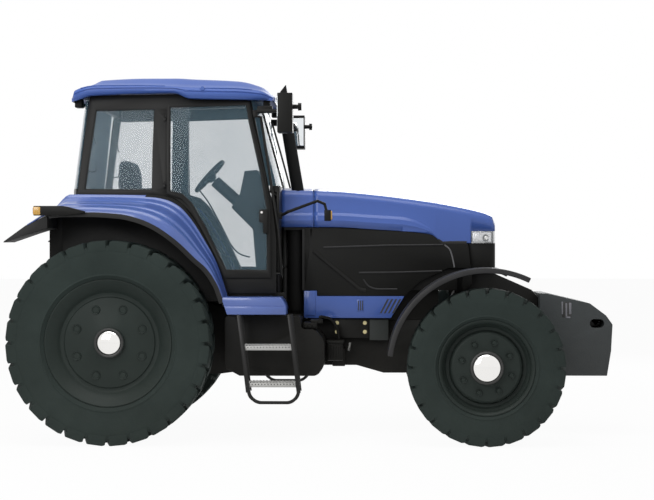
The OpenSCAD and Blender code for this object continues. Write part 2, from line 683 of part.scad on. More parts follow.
module cab_floor() color(black) union() {
    floor_y = min(inner_wall_y0 - seat_gap, inner_y(waist_z));
    block([-778, -inner_y(floor_z + 80), floor_z], [cab_front_x - seat_gap, inner_y(floor_z + 80), floor_z + 80]);
    block([-1000, -floor_y, floor_z], [-770, floor_y, floor_z + 80]);
    block([-1010, -floor_y, floor_z], [-970, floor_y, 1700]);
    block([cab_rear_low_x + 8, -floor_y, 1640], [-970, floor_y, 1700]);
    block([cab_rear_low_x + 8, -floor_y, 1640], [cab_rear_low_x + 40, floor_y, waist_z]);
    // Mounts on the transmission
    both_sides() {
        block([-700, 120, 1180 + seat_gap], [-600, 200, floor_z + 10]);
        block([-1900, 120, 1240 + seat_gap], [-1800, 200, 1650]);
    }
}

// Walls between the cab and the rear wheels
module cab_walls() color(black) both_sides() across(inner_wall_y0, inner_wall_y1) polygon([
    [-2290, 1560], [-2290, 2080],
    for (i = [2 : 11]) [fender_table[i][0] - (i > 5 ? 16 : 0), fender_table[i][1] - 22],
    [-800, floor_z], [-800, 1250], [-1050, 1250], [-1500, 1420], [-2050, 1420],
]);

// Columns: place along the roof from 0 to 1, half width below the full one, lower edge, shoulder and crown above the seat
roof_table = [
    [0,     120, -72, -20, -8],
    [0.017, 50,  -66, 30,  60],
    [0.095, 8,   -22, 66,  102],
    [0.14,  2,   -16, 72,  140],
    [0.36,  0,   -2,  70,  158],
    [0.51,  0,   2,   62,  158],
    [0.59,  0,   -48, 52,  150],
    [0.82,  4,   -58, 44,  130],
    [0.94,  40,  -62, 22,  76],
    [1,     120, -66, -30, -8],
];
roof_x0 = -2190;
roof_x1 = -384;

function roof_ring(row) = let (
    x = roof_x0 + row[0] * (roof_x1 - roof_x0),
    w = roof_half_w - row[1],
    z0 = roof_seat_z + row[2],
    z1 = roof_seat_z + row[3],
    z2 = roof_seat_z + row[4],
    half = [[w - 18, z0], [w, z0 + 0.25 * (z1 - z0)], [w - 6, z0 + 0.75 * (z1 - z0)], [w - 34, z1],
            [0.8 * w, z1 + 0.35 * (z2 - z1)], [0.66 * w, z2 - 4]]
) [for (p = half) [x, p[0], p[1]], [x, 0, z2], for (i = [len(half) - 1 : -1 : 0]) [x, -half[i][0], half[i][1]]];

module cab_roof() color(blue) difference() {
    loft([for (row = roof_table) roof_ring(row)]);
    // Pocket over the cab's rails
    block([-2080, -735, roof_seat_z - 200], [-520, 735, roof_seat_z - 3]);
    block([-2300, -735, roof_seat_z - 200], [-2070, 735, roof_seat_z - 40]);
    block([-530, -735, roof_seat_z - 200], [-400, 735, roof_seat_z - 40]);
}

// Columns: rearmost X of a lamp under the roof, and the length of its housing
work_lamp_table = [[-2178, 66], [-474, 60]];
work_lamp_y = 600;
work_lamp_half_w = 60;
work_lamp_z0 = 2996;

module work_lamps() color(black) both_sides() for (row = work_lamp_table)
    block([row[0], work_lamp_y - work_lamp_half_w, work_lamp_z0],
        [row[0] + row[1], work_lamp_y + work_lamp_half_w, roof_seat_z - 40 - seat_gap]);

screen_tilt = 12.4;
screen_bow = 105;
rear_bow = 125;
module bow_area(half_w, bow) {
    r = (half_w * half_w + bow * bow) / (2 * bow);
    intersection() {
        translate([bow - r, 0]) circle(r = r, $fn = 200);
        translate([0, -half_w]) square([bow + 1, 2 * half_w]);
    }
}

// Bowed pane that stands on the line X = 0, its sides leaning with the cab's
module bowed_pane(half_w, bow, h, z0) {
    r = (half_w * half_w + bow * bow) / (2 * bow);
    intersection() {
        linear_extrude(h) translate([bow - r, 0]) difference() {
            circle(r = r, $fn = 200);
            circle(r = r - glass_t, $fn = 200);
        }
        rotate([90, 0, 90]) translate([0, 0, -60]) linear_extrude(bow + 100) polygon([
            [-side_y(z0) + 4, 0], [side_y(z0) - 4, 0], [side_y(z0 + h) - 4, h], [-side_y(z0 + h) + 4, h],
        ]);
    }
}

module cab_glass() color(glass_tint) {
    both_sides() side_plane(-post_t / 2 - glass_t / 2, -post_t / 2 + glass_t / 2) polygon(shrink(quarter_outline, 0.6));
    // Windscreen
    difference() {
        translate([-413.8, 0, 2240]) rotate([0, -screen_tilt, 0]) translate([6.2, 0, 0])
            bowed_pane(760, screen_bow, 860, 2240);
        block([-700, -900, 2000], [0, 900, 2287]);
        block([-900, -900, 3072], [0, 900, 3300]);
    }
    // Rear window
    difference() {
        translate([cab_rear_low_x - 4.5, 0, 2229]) rotate([0, 7.4, 0]) rotate([0, 0, 180])
            bowed_pane(760, rear_bow, 860, 2229);
        block([-2600, -900, 2000], [-1900, 900, 2262.4]);
        block([-2600, -900, 3070], [-1900, 900, 3300]);
    }
}

door_o0 = 7;
module door() color(black) difference() {
    union() {
        side_plane(door_o0, door_o0 + door_t) difference() {
            polygon(door_outline);
            polygon(door_glass_outline);
        }
        // Handle
        side_plane(door_o0 + door_t - 1, door_o0 + door_t + 30) polygon([
            [-465, 1860], [-425, 1860], [-425, 2070], [-500, 2070], [-500, 1960], [-465, 1950],
        ]);
        // Hinge leaves
        on_side() for (z = hinge_zs) {
            translate([hinge_x, hinge_o, z - 5.7]) cylinder(r = 14, h = 30);
            block([hinge_x, hinge_o - 12, z - 5.7], [-1322, hinge_o + 12, z + 24.3]);
        }
    }
    on_side() for (z = hinge_zs) translate([hinge_x, hinge_o, z - 20]) cylinder(r = door_pin_r + run_gap, h = 60);
}
module door_glass() color(glass_tint)
    side_plane(door_o0 + door_t / 2 - glass_t / 2, door_o0 + door_t / 2 + glass_t / 2) polygon(shrink(door_glass_outline, 0.6));

// ---------------------------------------------------------------- inside the cab

wheel_centre = [-1025, 0, 2401];
wheel_tilt = 48;      // lean of the steering column from the vertical

module console() color(black) difference() {
    union() {
        across(-230, 230) polygon([
            [-720, 2230], [-677, 2440], [-560, 2450], [-440, 2180], [cab_front_x - 20, 2180],
            [cab_front_x - 20, floor_z + 80 + seat_gap], [-560, floor_z + 80 + seat_gap], [-600, 1900], [-800, 2100],
        ]);
        rod(wheel_centre + 70 * [sin(wheel_tilt), 0, -cos(wheel_tilt)], [-700, 0, 2110], 55);
    }
    rod(wheel_centre, wheel_centre + 140 * [sin(wheel_tilt), 0, -cos(wheel_tilt)], 15 + run_gap);
}

module steering_wheel() color(black) translate(wheel_centre) rotate([0, 180 - wheel_tilt, 0]) union() {
    rotate_extrude() translate([steering_wheel_d / 2 - 16, 0]) polygon([for (a = [0 : 45 : 315]) 16 * [cos(a), sin(a)]]);
    for (a = [0, 120, 240]) rotate([0, 0, a]) block([30, -18, -8], [steering_wheel_d / 2 - 16, 18, 8]);
    cylinder(r = 60, h = 60);
    cylinder(r = 15, h = 130);
}

module seat_base() color(black) {
    union() {
        block([-1700, -180, 1700 + seat_gap], [-1280, 180, 1880]);
        block([-1780, -250, 1880], [-1240, 250, 1930]);
        both_sides() block([-1700, 270, 2190], [-1340, 330, 2240]);
        both_sides() block([-1700, 240, 1900], [-1640, 330, 2200]);
    }
}

module seat_cushions() color([0.2, 0.21, 0.22]) union() {
    block([-1760, -235, 1930 + seat_gap], [-1250, 235, 2050]);
    across(-230, 230) polygon([[-1760, 2040], [-1640, 2040], [-1690, 2420], [-1730, 2552], [-1850, 2552], [-1860, 2300]]);
}

// ---------------------------------------------------------------- rear fenders, steps, tanks

// Columns: share of the way from the fender's inner shoulder to its outer edge, share of the drop to the lip
fender_section = [[0, 0], [0.12, 0.24], [0.4, 0.42], [0.8, 0.6], [0.97, 0.76], [1, 1]];
fender_in_y = inner_wall_y1 + seat_gap;
shoulder_y = 800;

function toward_axle(x, z, d) = let (v = [rear_x - x, rear_z - z]) [x, z] + d * v / norm(v);
function fender_ring(row) = let (
    inner = [row[0], row[1]],
    outer = [row[2], row[3]],
    top = [
        [fender_in_y, inner],
        for (p = fender_section) [shoulder_y + p[0] * (row[4] - shoulder_y), inner + p[1] * (outer - inner)],
    ],
    n = len(top)
) [
    for (i = [0 : n - 1]) let (
        depth = i == n - 1 ? 0 : i == n - 2 ? fender_t / 2 : fender_t,
        q = toward_axle(top[i][1][0], top[i][1][1], depth)
    )
        [q[0], top[i][0] - (i >= n - 2 ? fender_t : 0), q[1]],
    for (i = [n - 1 : -1 : 0]) [top[i][1][0], top[i][0], top[i][1][1]],
];

platform_x1 = -243;
tray_z0 = 1149;
module rear_fenders() color(blue) both_sides() union() {
    loft([for (row = fender_table) fender_ring(row)]);
    // Seat of the rear lamp bar
    block([-2290, fender_out_y - 34, 2040], [-2110, fender_out_y + 4.2, 2066]);
    // Step tray at the foot of the fender
    difference() {
        across(fender_in_y + 120, fender_out_y - 60) polygon([
            [-800, 1300], [-800, 1262], [-760, tray_z0], [platform_x1, tray_z0], [platform_x1, 1215], [-290, 1300],
        ]);
        block([-735, 780, 1210], [-300, fender_out_y - 85, 1400]);
    }
}

trim_w = 36;
function trim_ring(row) = let (
    lip = toward_axle(row[2], row[3], 2 * seat_gap),
    low = toward_axle(lip[0], lip[1], trim_w)
) [
    [low[0], row[4] - fender_t - 4, low[1]], [low[0], row[4] + 4, low[1]],
    [lip[0], row[4] + 4, lip[1]], [lip[0], row[4] - fender_t - 4, lip[1]],
];

module fender_trims() color(black) both_sides() {
    loft([for (i = [1 : 12]) trim_ring(fender_table[i])]);
    // Mud flap at the tail
    across(fender_in_y + 60, fender_out_y) polygon([
        [-2500, 1928], [-2322, 2018], [-2322, 1905], [-2466, 1861], [rear_x - 907, 1778], [rear_x - 905, 1788], [-2506, 1932],
    ]);
}

module rear_lamps() both_sides() {
    color(black) across(fender_out_y + 4.5, fender_out_y + 52) polygon([
        [-2435, 2013], [-2137, 2013], [-1990, 2032], [-1984, 2050], [-2137, 2090], [-2180, 2097], [-2435, 2097],
    ]);
}

step_y0 = 930;
step_y1 = 1108;
rail_w = 36;
rail_pitch = step_w + 42;
// Rear edge of the rearmost rail at height z
function rail_x(z) = -675 + 80 * (tray_z0 - z) / (tray_z0 - 470);

module step_frames() color(black) both_sides() {
    rail_z1 = tray_z0 - seat_gap;
    // Rails, and the loop that carries the low tread
    for (y = [step_y0 - 16 - seat_gap, step_y1 + seat_gap]) across(y, y + 16)
        for (x = [0, rail_pitch]) translate([x, 0]) polygon([
            [rail_x(rail_z1), rail_z1], [rail_x(rail_z1) + rail_w, rail_z1],
            [rail_x(470) + rail_w, 470], [rail_x(470), 470],
        ]);
    across(step_y1 + seat_gap, step_y1 + 16 + seat_gap) difference() {
        polygon([[-595, 515], [-575, 425], [-500, 369], [-200, 369], [-132, 425], [-112, 515]]);
        polygon([[-565, 530], [-548, 440], [-490, 396], [-210, 396], [-158, 440], [-142, 530]]);
    }
}

module step_treads() color([0.7, 0.7, 0.7]) both_sides() for (z = [838, 515])
    block([rail_x(z) + rail_w / 2, step_y0, z], [rail_x(z) + rail_w / 2 + rail_pitch, step_y1, z + 50]);

module fuel_tanks() color(black) both_sides() across(220 + seat_gap, tank_out_y) polygon([
    [-816, tank_top_z], [-816, 656], [-682, 584], [15, 584], [78, 674], [78, 900], [0, 1000], [-130, 1000],
    [-130, tank_top_z],
]);

// ---------------------------------------------------------------- mirrors, lamps and rails

module mirrors() color(black) both_sides() {
    y0 = side_y(2935) - 2;
    block([mirror_foot_x + seat_gap, y0, 2932], [-484, y0 + 160, 2962]);
    block([-494, y0 + 130, 2932], [-262, y0 + 160, 2962]);
    block([-292, y0 + 130, 2932], [-262, mirror_y - 20, 2962]);
    block([-307, mirror_y - 100, 2724], [-178, mirror_y + 100, 3061]);
}

module signal_lamps() color(black) both_sides() {
    block([cab_front_x + firewall_t + seat_gap, 665, 1990], [cab_front_x + 50, 725, 2050]);
    bent_rod([[cab_front_x + 40, 700, 2020], [-240, 845, 2052], [20, 850, 2147], [84, 850, 2120], [100, 850, 2060]], 14);
    block([82, 800, 1969], [140, 900, 2067]);
}

module handrails() color(black) both_sides() {
    bent_rod([[-300, side_y(1480) + 4, 1480], [-328, side_y(1860) + 4, 1860], [-494, side_y(2908) + 4, 2908]], 13);
    rod([cab_front_x + seat_gap, side_y(1500) - 8, 1500], [-298, side_y(1500) - 8, 1500], 10);
    rod([mirror_foot_x + seat_gap, side_y(2904) + 4, 2904], [-494, side_y(2904) + 4, 2904], 9);
}

// ---------------------------------------------------------------- hitch

lower_pin = [rear_x - 100, 610];
link_pin = [rear_x - 520, 585];
arm_shift = [-60, 560];          // from the lower links to the lift arms, which run parallel
arm_pin = lower_pin + arm_shift;
rod_pin = link_pin + arm_shift;
link_bend = [rear_x - 620, 576];
link_end = [rear_x - 868, 560];
link_pin_r = 18;
link_end_r = 14.5;
link_ball_w = 45;
rod_pin_r = 14;
arm_pivot_r = 40;
gearbox_x0 = rear_x - 380;
pto_z = 760;
pto_len = 100;
pto_guard_x0 = gearbox_x0 - 120;
pto_guard_z = pto_z + 90;
pto_guard_w = 120;
guard_sheet = 10;
coupler_x = gearbox_x0 - 50;
coupler_depth = 10;
coupler_block_w = 130;
coupler_len = 40;
coupler_pitch = 60;
coupler_rows = [1085, 1145];
coupler_r = 17;
top_link_pin = [gearbox_x0 - 50, 960];
top_pin_r = 12.75;
top_ear_y0 = 26;
top_ear_y1 = 44;
drawbar_pin_x = rear_x - 670;
drawbar_pin_r = 16.5;

module drawbar() color(casting) difference() {
    union() {
        block([drawbar_pin_x, -45, 470], [rear_x - 100, 45, 520]);
        translate([drawbar_pin_x, 0, 470]) cylinder(r = 45, h = 50);
        block([rear_x - 250, -120, 500], [rear_x - 200, 120, 560 - seat_gap]);
    }
    translate([drawbar_pin_x, 0, 400]) cylinder(r = drawbar_pin_r, h = 200);
}

module lower_links() color(casting) both_sides() difference() {
    link_y = link_spread / 2;
    union() {
        hull() {
            eye(38, 241, 271, lower_pin, $fn = 32);
            eye(34, 316, 346, link_bend, $fn = 32);
        }
        hull() {
            eye(34, 316, 346, link_bend, $fn = 32);
            eye(25, link_y - 3, link_y + 13, link_end, $fn = 32);
        }
        eye(38, link_y - link_ball_w / 2, link_y + link_ball_w / 2, link_end);
        eye(rod_pin_r, 310, 400, link_pin);
    }
    eye(link_pin_r + run_gap, 200, 300, lower_pin);
    eye(link_end_r, link_y - 100, link_y + 100, link_end);
}

module lift_arms() color(casting) union() {
    both_sides() hull() {
        eye(62, 300, 340, arm_pin, $fn = 32);
        eye(34, 300, 340, rod_pin, $fn = 32);
    }
    eye(arm_pivot_r, -305, 305, arm_pin);
    both_sides() eye(rod_pin_r, 335, 400, rod_pin);
}

module lift_rods() color(casting) both_sides() difference() {
    union() {
        rod([rod_pin[0], 380, rod_pin[1] - 25], [link_pin[0], 380, link_pin[1] + 25], 20);
        eye(32, 364, 396, rod_pin);
        eye(32, 364, 396, link_pin);
    }
    eye(rod_pin_r + run_gap, 340, 420, rod_pin);
    eye(rod_pin_r + run_gap, 340, 420, link_pin);
}

// ---------------------------------------------------------------- assembly

chassis_frame();
transmission();
rear_axle();
engine_block();
front_axle();
ballast_block();
side_panels();
lower_shields();
cowl();
exhaust();
cab_sides();
cab_frame();
cab_floor();
cab_walls();
cab_roof();
work_lamps();
cab_glass();
console();
seat_base();
seat_cushions();
rear_fenders();
fender_trims();
rear_lamps();
step_frames();
step_treads();
fuel_tanks();
mirrors();
signal_lamps();
handrails();
drawbar();
hood_shell();
grille();
headlamps();
door();  // door_left
door_glass();  // door_left_glass
mirror([0, 1, 0]) door();  // door_right
mirror([0, 1, 0]) door_glass();  // door_right_glass
steering_wheel();
knuckle();  // knuckle_left
front_fender();  // front_fender_left
place_front() tyre(front_tyre_r, front_tyre_w, front_rim_r, 160, front_lugs);  // front_tyre_left
place_front() front_rim();  // front_rim_left
mirror([0, 1, 0]) knuckle();  // knuckle_right
mirror([0, 1, 0]) front_fender();  // front_fender_right
mirror([0, 1, 0]) place_front() tyre(front_tyre_r, front_tyre_w, front_rim_r, 160, front_lugs);  // front_tyre_right
mirror([0, 1, 0]) place_front() front_rim();  // front_rim_right
place_rear() tyre(rear_tyre_r, rear_tyre_w, rear_rim_r, 190, rear_lugs);  // rear_tyre_left
place_rear() rear_rim();  // rear_rim_left
mirror([0, 1, 0]) place_rear() tyre(rear_tyre_r, rear_tyre_w, rear_rim_r, 190, rear_lugs);  // rear_tyre_right
mirror([0, 1, 0]) place_rear() rear_rim();  // rear_rim_right
lower_links();
lift_arms();
lift_rods();
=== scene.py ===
"""Looks of a four-wheel-drive row-crop tractor with a closed cab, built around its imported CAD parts.

Metres. +X is forward, +Y is the tractor's left, +Z is up, and the ground is at z = 0.
"""

import math

import bmesh
import bpy
from mathutils import Matrix, Vector


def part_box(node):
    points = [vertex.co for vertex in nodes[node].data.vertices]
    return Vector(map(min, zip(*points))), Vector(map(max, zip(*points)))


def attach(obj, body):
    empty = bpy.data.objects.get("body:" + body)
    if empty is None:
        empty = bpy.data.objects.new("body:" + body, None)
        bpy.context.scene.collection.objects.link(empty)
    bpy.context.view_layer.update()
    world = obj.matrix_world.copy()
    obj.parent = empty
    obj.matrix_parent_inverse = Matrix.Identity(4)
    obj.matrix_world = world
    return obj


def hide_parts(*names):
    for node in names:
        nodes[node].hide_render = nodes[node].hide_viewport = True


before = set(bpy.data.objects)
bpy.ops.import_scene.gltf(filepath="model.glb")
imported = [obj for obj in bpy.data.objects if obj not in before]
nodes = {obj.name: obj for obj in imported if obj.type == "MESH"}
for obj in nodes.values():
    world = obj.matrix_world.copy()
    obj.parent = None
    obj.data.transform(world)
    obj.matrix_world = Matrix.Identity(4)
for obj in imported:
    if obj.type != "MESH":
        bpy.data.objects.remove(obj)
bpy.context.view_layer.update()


# ---------------------------------------------------------------- floor, light and camera
# A plain pale studio floor under a white surround. The lamps are large and soft, and light the tractor's
# right side at about the level at which a colour shows as it is mixed.

WHITE = (1, 1, 1, 1)
SURROUND = 0.30
FLOOR = (0.86, 0.86, 0.86, 1)
FLOOR_GLOW = 0.955


def node_of(tree, kind, feeds=None, **settings):
    """A shader node with its settings. feeds gives its inputs, each a value or another node's output."""
    made = tree.nodes.new(kind)
    for key, value in settings.items():
        setattr(made, key, value)
    for socket, value in (feeds or {}).items():
        if isinstance(value, bpy.types.NodeSocket):
            tree.links.new(value, made.inputs[socket])
        else:
            made.inputs[socket].default_value = value
    return made


def worked(tree, operation, *terms, clamped=False):
    """What a sum, product or the like of values and outputs comes to."""
    feeds = dict(enumerate(terms))
    return node_of(tree, "ShaderNodeMath", feeds, operation=operation, use_clamp=clamped).outputs[0]


def blended(tree, share, first, second):
    """Shader between two others, at a share of the second."""
    feeds = {0: share, 1: first.outputs[0], 2: second.outputs[0]}
    return node_of(tree, "ShaderNodeMixShader", feeds).outputs[0]


def seen_directly(tree):
    """1 where a surface is seen, also in a mirror or through glass, and 0 where it only gives light."""
    path = node_of(tree, "ShaderNodeLightPath").outputs
    mirrored_too = worked(tree, "MAXIMUM", path["Is Camera Ray"], path["Is Glossy Ray"])
    return worked(tree, "MAXIMUM", mirrored_too, path["Is Transmission Ray"])


world = bpy.data.worlds.new("surround")
bpy.context.scene.world = world
world.use_nodes = True
sky = world.node_tree
sky.nodes.clear()
shine = node_of(sky, "ShaderNodeBackground", {"Color": WHITE, "Strength": SURROUND})
glow = node_of(sky, "ShaderNodeBackground", {"Color": WHITE, "Strength": 1})
node_of(sky, "ShaderNodeOutputWorld", {0: blended(sky, seen_directly(sky), shine, glow)})

bm = bmesh.new()
bmesh.ops.create_circle(bm, cap_ends=True, segments=64, radius=60)
floor_mesh = bpy.data.meshes.new("floor")
bm.to_mesh(floor_mesh)
bm.free()
floor = bpy.data.objects.new("floor", floor_mesh)
bpy.context.scene.collection.objects.link(floor)

pale = bpy.data.materials.new("pale_floor")
pale.use_nodes = True
tree = pale.node_tree
tree.nodes.clear()
matt = node_of(tree, "ShaderNodeBsdfDiffuse", {"Color": FLOOR})
white = node_of(tree, "ShaderNodeEmission", {"Color": WHITE})
level = worked(tree, "MULTIPLY", seen_directly(tree), FLOOR_GLOW)
node_of(tree, "ShaderNodeOutputMaterial", {0: blended(tree, level, matt, white)})
floor_mesh.materials.append(pale)

# Columns: name, place, point it faces, width and height, power
for name, place, target, size, power in (
    ("overhead_lamp", (-1, -3, 8.5), (0, 0.3, 1), (9, 5), 440),
    ("side_lamp", (-5, -10, 5), (0, 0, 1.2), (6, 4), 360),
    ("far_lamp", (3, 9, 5), (0, 0, 1.2), (7, 4), 300),
):
    lamp = bpy.data.lights.new(name, "AREA")
    lamp.shape = "RECTANGLE"
    lamp.size, lamp.size_y = size
    lamp.energy = power
    holder = bpy.data.objects.new(name, lamp)
    bpy.context.scene.collection.objects.link(holder)
    holder.location = place
    holder.rotation_euler = (Vector(target) - Vector(place)).to_track_quat("-Z", "Y").to_euler()

camera = bpy.data.cameras.new("camera")
camera.lens = 88.89
camera.sensor_width = 36
camera.clip_end = 200
eye_point = bpy.data.objects.new("camera", camera)
bpy.context.scene.collection.objects.link(eye_point)
eye_point.location = (0.5012, -15.17, 1.809)
eye_point.rotation_euler = (math.radians(90 - 0.388), 0, math.radians(1.586))
bpy.context.scene.camera = eye_point
bpy.context.scene.view_settings.view_transform = "Standard"


# ---------------------------------------------------------------- backbone
# Frame, gearbox, engine block and axles are iron castings and pressed plate, bolted end to end. They are
# sprayed dark grey after they are put together, so bolts and seams carry the same paint.


def weathered():
    """Group that mottles a colour, lays dust on its lower and upward faces, and gives its skin a grain."""
    group = bpy.data.node_groups.new("Weathered", "ShaderNodeTree")
    for label, kind, value in (
        ("Colour", "NodeSocketColor", WHITE), ("Dust Colour", "NodeSocketColor", (0.30, 0.27, 0.22, 1)),
        ("Dust", "NodeSocketFloat", 0.1), ("Roughness", "NodeSocketFloat", 0.5),
        ("Mottle", "NodeSocketFloat", 0.1), ("Grain Scale", "NodeSocketFloat", 100),
        ("Grain Depth", "NodeSocketFloat", 0.0003),
    ):
        group.interface.new_socket(label, in_out="INPUT", socket_type=kind).default_value = value
    for label, kind in (("Colour", "NodeSocketColor"), ("Roughness", "NodeSocketFloat"),
                        ("Normal", "NodeSocketVector")):
        group.interface.new_socket(label, in_out="OUTPUT", socket_type=kind)
    given = node_of(group, "NodeGroupInput").outputs
    place = node_of(group, "ShaderNodeTexCoord").outputs["Object"]
    # Mottle: the colour's brightness wanders a little
    broad = node_of(group, "ShaderNodeTexNoise",
                    {"Vector": place, "Scale": 1.9, "Detail": 6, "Roughness": 0.62})
    darkest, brightest = (worked(group, "MULTIPLY_ADD", given["Mottle"], sign, 1) for sign in (-1, 1))
    shade = node_of(group, "ShaderNodeMapRange", {
        "Value": broad.outputs["Fac"], "From Min": 0.3, "From Max": 0.7,
        "To Min": darkest, "To Max": brightest,
    })
    toned = node_of(group, "ShaderNodeVectorMath", {0: given["Colour"], "Scale": shade.outputs[0]},
                    operation="SCALE")
    # Dust: more of it near the ground, and on faces that look up
    height = node_of(group, "ShaderNodeSeparateXYZ", {0: place})
    low = node_of(group, "ShaderNodeMapRange",
                  {"Value": height.outputs["Z"], "From Min": 1.5, "From Max": 0.1})
    normal = node_of(group, "ShaderNodeNewGeometry").outputs["Normal"]
    facing = node_of(group, "ShaderNodeSeparateXYZ", {0: normal})
    up = node_of(group, "ShaderNodeMapRange", {"Value": facing.outputs["Z"], "From Min": 0.6, "To Max": 0.5})
    patches = node_of(group, "ShaderNodeTexNoise",
                      {"Vector": place, "Scale": 9, "Detail": 8, "Roughness": 0.7})
    gathered = worked(group, "ADD", low.outputs[0], up.outputs[0], clamped=True)
    patchy = worked(group, "MULTIPLY", gathered, patches.outputs["Fac"])
    amount = worked(group, "MULTIPLY", patchy, given["Dust"], clamped=True)
    dusty = node_of(group, "ShaderNodeMix", {0: amount, 6: toned.outputs[0], 7: given["Dust Colour"]},
                    data_type="RGBA")
    # Grain: fine relief of sand casting, moulding or sprayed paint
    grain = node_of(group, "ShaderNodeTexNoise",
                    {"Vector": place, "Scale": given["Grain Scale"], "Detail": 2})
    relief = worked(group, "MULTIPLY", grain.outputs["Fac"], given["Grain Depth"])
    bump = node_of(group, "ShaderNodeBump", {"Height": relief, "Distance": 1})
    node_of(group, "NodeGroupOutput", {
        "Colour": dusty.outputs[2],
        "Roughness": worked(group, "MULTIPLY_ADD", amount, 0.5, given["Roughness"], clamped=True),
        "Normal": bump.outputs[0],
    })
    return group


WEATHERED = weathered()


def finish(name, colour, roughness, metallic=0.0, coat=0.0, gloss=0.5, **skin):
    """A painted, cast or moulded finish. skin gives the weathered group's own values."""
    made = bpy.data.materials.new(name)
    made.use_nodes = True
    tree = made.node_tree
    given = {key.replace("_", " "): value for key, value in skin.items()}
    given.update({"Colour": (*colour, 1), "Roughness": roughness})
    skin_of = node_of(tree, "ShaderNodeGroup", given, node_tree=WEATHERED).outputs
    shader = tree.nodes["Principled BSDF"].inputs
    shader["Metallic"].default_value = metallic
    shader["Specular IOR Level"].default_value = gloss
    shader["Coat Weight"].default_value = coat
    shader["Coat Roughness"].default_value = 0.06
    for output, socket in (("Colour", "Base Color"), ("Roughness", "Roughness"), ("Normal", "Normal")):
        tree.links.new(skin_of[output], shader[socket])
    return made


def piece(name, bm, material, body, replaces=(), sharp=32):
    """A finished mesh as an object on a body, its faces smooth up to the sharp angle in degrees."""
    mesh = bpy.data.meshes.new(name)
    bm.normal_update()
    bm.to_mesh(mesh)
    bm.free()
    mesh.shade_smooth()
    mesh.set_sharp_from_angle(angle=math.radians(sharp))
    mesh.materials.append(material)
    made = bpy.data.objects.new(name, mesh)
    bpy.context.scene.collection.objects.link(made)
    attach(made, body)
    if replaces:
        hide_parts(*replaces)
    return made


def cad_copy(node):
    """The CAD node's solids as closed faces: its loose triangles merged, and flat ones joined."""
    bm = bmesh.new()
    bm.from_mesh(nodes[node].data)
    bmesh.ops.remove_doubles(bm, verts=bm.verts, dist=0.00002)
    bmesh.ops.dissolve_limit(bm, angle_limit=math.radians(0.6), verts=bm.verts, edges=bm.edges)
    return bm


def bevelled(bm, edges, width, segments):
    """Rounds edges in a number of steps."""
    bmesh.ops.bevel(bm, geom=edges, offset=width, offset_type="OFFSET", affect="EDGES", segments=segments,
                    profile=0.5, material=-1, clamp_overlap=True)


def round_edges(bm, width, along=None, steepest=30, segments=2):
    """Rounds the edges that are sharper than the steepest angle, or only those that run along an axis."""
    edges = [
        e for e in bm.edges
        if len(e.link_faces) == 2 and e.calc_face_angle(0) > math.radians(steepest)
        and (along is None or abs((e.verts[1].co - e.verts[0].co).normalized().dot(along)) > 0.98)
    ]
    bevelled(bm, edges, width, segments)


def softened(node, width, material, body, along=None, corner=0.0, segments=2):
    """The CAD node's shape with worked edges, in the node's place."""
    bm = cad_copy(node)
    if corner:
        round_edges(bm, corner, along, segments=4)
    round_edges(bm, width, segments=segments)
    piece(node + "_shape", bm, material, body, [node])


def bolt_head(bm, place, axis, across=0.024, height=0.012, washer=0.019):
    """Hexagon head on its washer, sitting on a face that looks along the axis."""
    turn = Vector((0, 0, 1)).rotation_difference(Vector(axis)).to_matrix().to_4x4()
    at = Matrix.Translation(place) @ turn
    bmesh.ops.create_cone(bm, cap_ends=True, segments=16, radius1=washer, radius2=washer * 0.94, depth=0.004,
                          matrix=at @ Matrix.Translation((0, 0, 0.002)))
    bmesh.ops.create_cone(bm, cap_ends=True, segments=6, radius1=across / 2, radius2=across / 2 * 0.9,
                          depth=height, matrix=at @ Matrix.Translation((0, 0, 0.004 + height / 2)))


casting = finish("dark_casting", (0.009, 0.009, 0.0085), 0.5, gloss=0.12, Grain_Scale=140, Grain_Depth=0.0006,
                 Dust=0.08, Mottle=0.25)
black_paint = finish("satin_black_paint", (0.011, 0.011, 0.0105), 0.36, gloss=0.14, Grain_Scale=90,
                     Grain_Depth=0.0001, Dust=0.05, Mottle=0.12)

for node, width in (("chassis_frame", 0.008), ("transmission", 0.010), ("rear_axle", 0.006),
                    ("engine_block", 0.008), ("front_axle", 0.006)):
    softened(node, width, casting, "chassis")


# ---------------------------------------------------------------- wheels
# Radial tractor tyres carry two rows of bar lugs that trail from the middle of the tread to its shoulders.
# The rims are rolled steel with a dished disc, eight capped wheel nuts and a bright pressed hub cap.

REAR_LUGS, FRONT_LUGS = 28, 24
LUG_HEIGHT = 0.042
NUTS, CAP_RISE = 8, 0.036

tyre_rubber = finish("tyre_rubber", (0.029, 0.039, 0.036), 0.75, gloss=0.08, Grain_Scale=55,
                     Grain_Depth=0.0007, Dust=0.03, Mottle=0.16)
rim_paint = finish("rim_paint", (0.022, 0.030, 0.027), 0.42, gloss=0.12, Grain_Scale=120, Grain_Depth=0.0002,
                   Dust=0.03, Mottle=0.12)
# Black of the hub's ring and the bulbs' rings, also used as painted shade in slots, holes and pockets
black_and_painted_shade = finish("black_and_painted_shade", (0.012, 0.013, 0.013), 0.4, Mottle=0.1)
bright_cap = finish("bright_hub_cap", (0.86, 0.85, 0.83), 0.07, metallic=1.0, Dust=0.02, Mottle=0.03,
                    Grain_Depth=0.0)


def both_sides(bm):
    """Adds the mirror image across the tractor's middle."""
    copied = bmesh.ops.duplicate(bm, geom=bm.verts[:] + bm.edges[:] + bm.faces[:])["geom"]
    bmesh.ops.scale(bm, vec=(1, -1, 1), verts=[g for g in copied if isinstance(g, bmesh.types.BMVert)])
    bmesh.ops.reverse_faces(bm, faces=[g for g in copied if isinstance(g, bmesh.types.BMFace)])


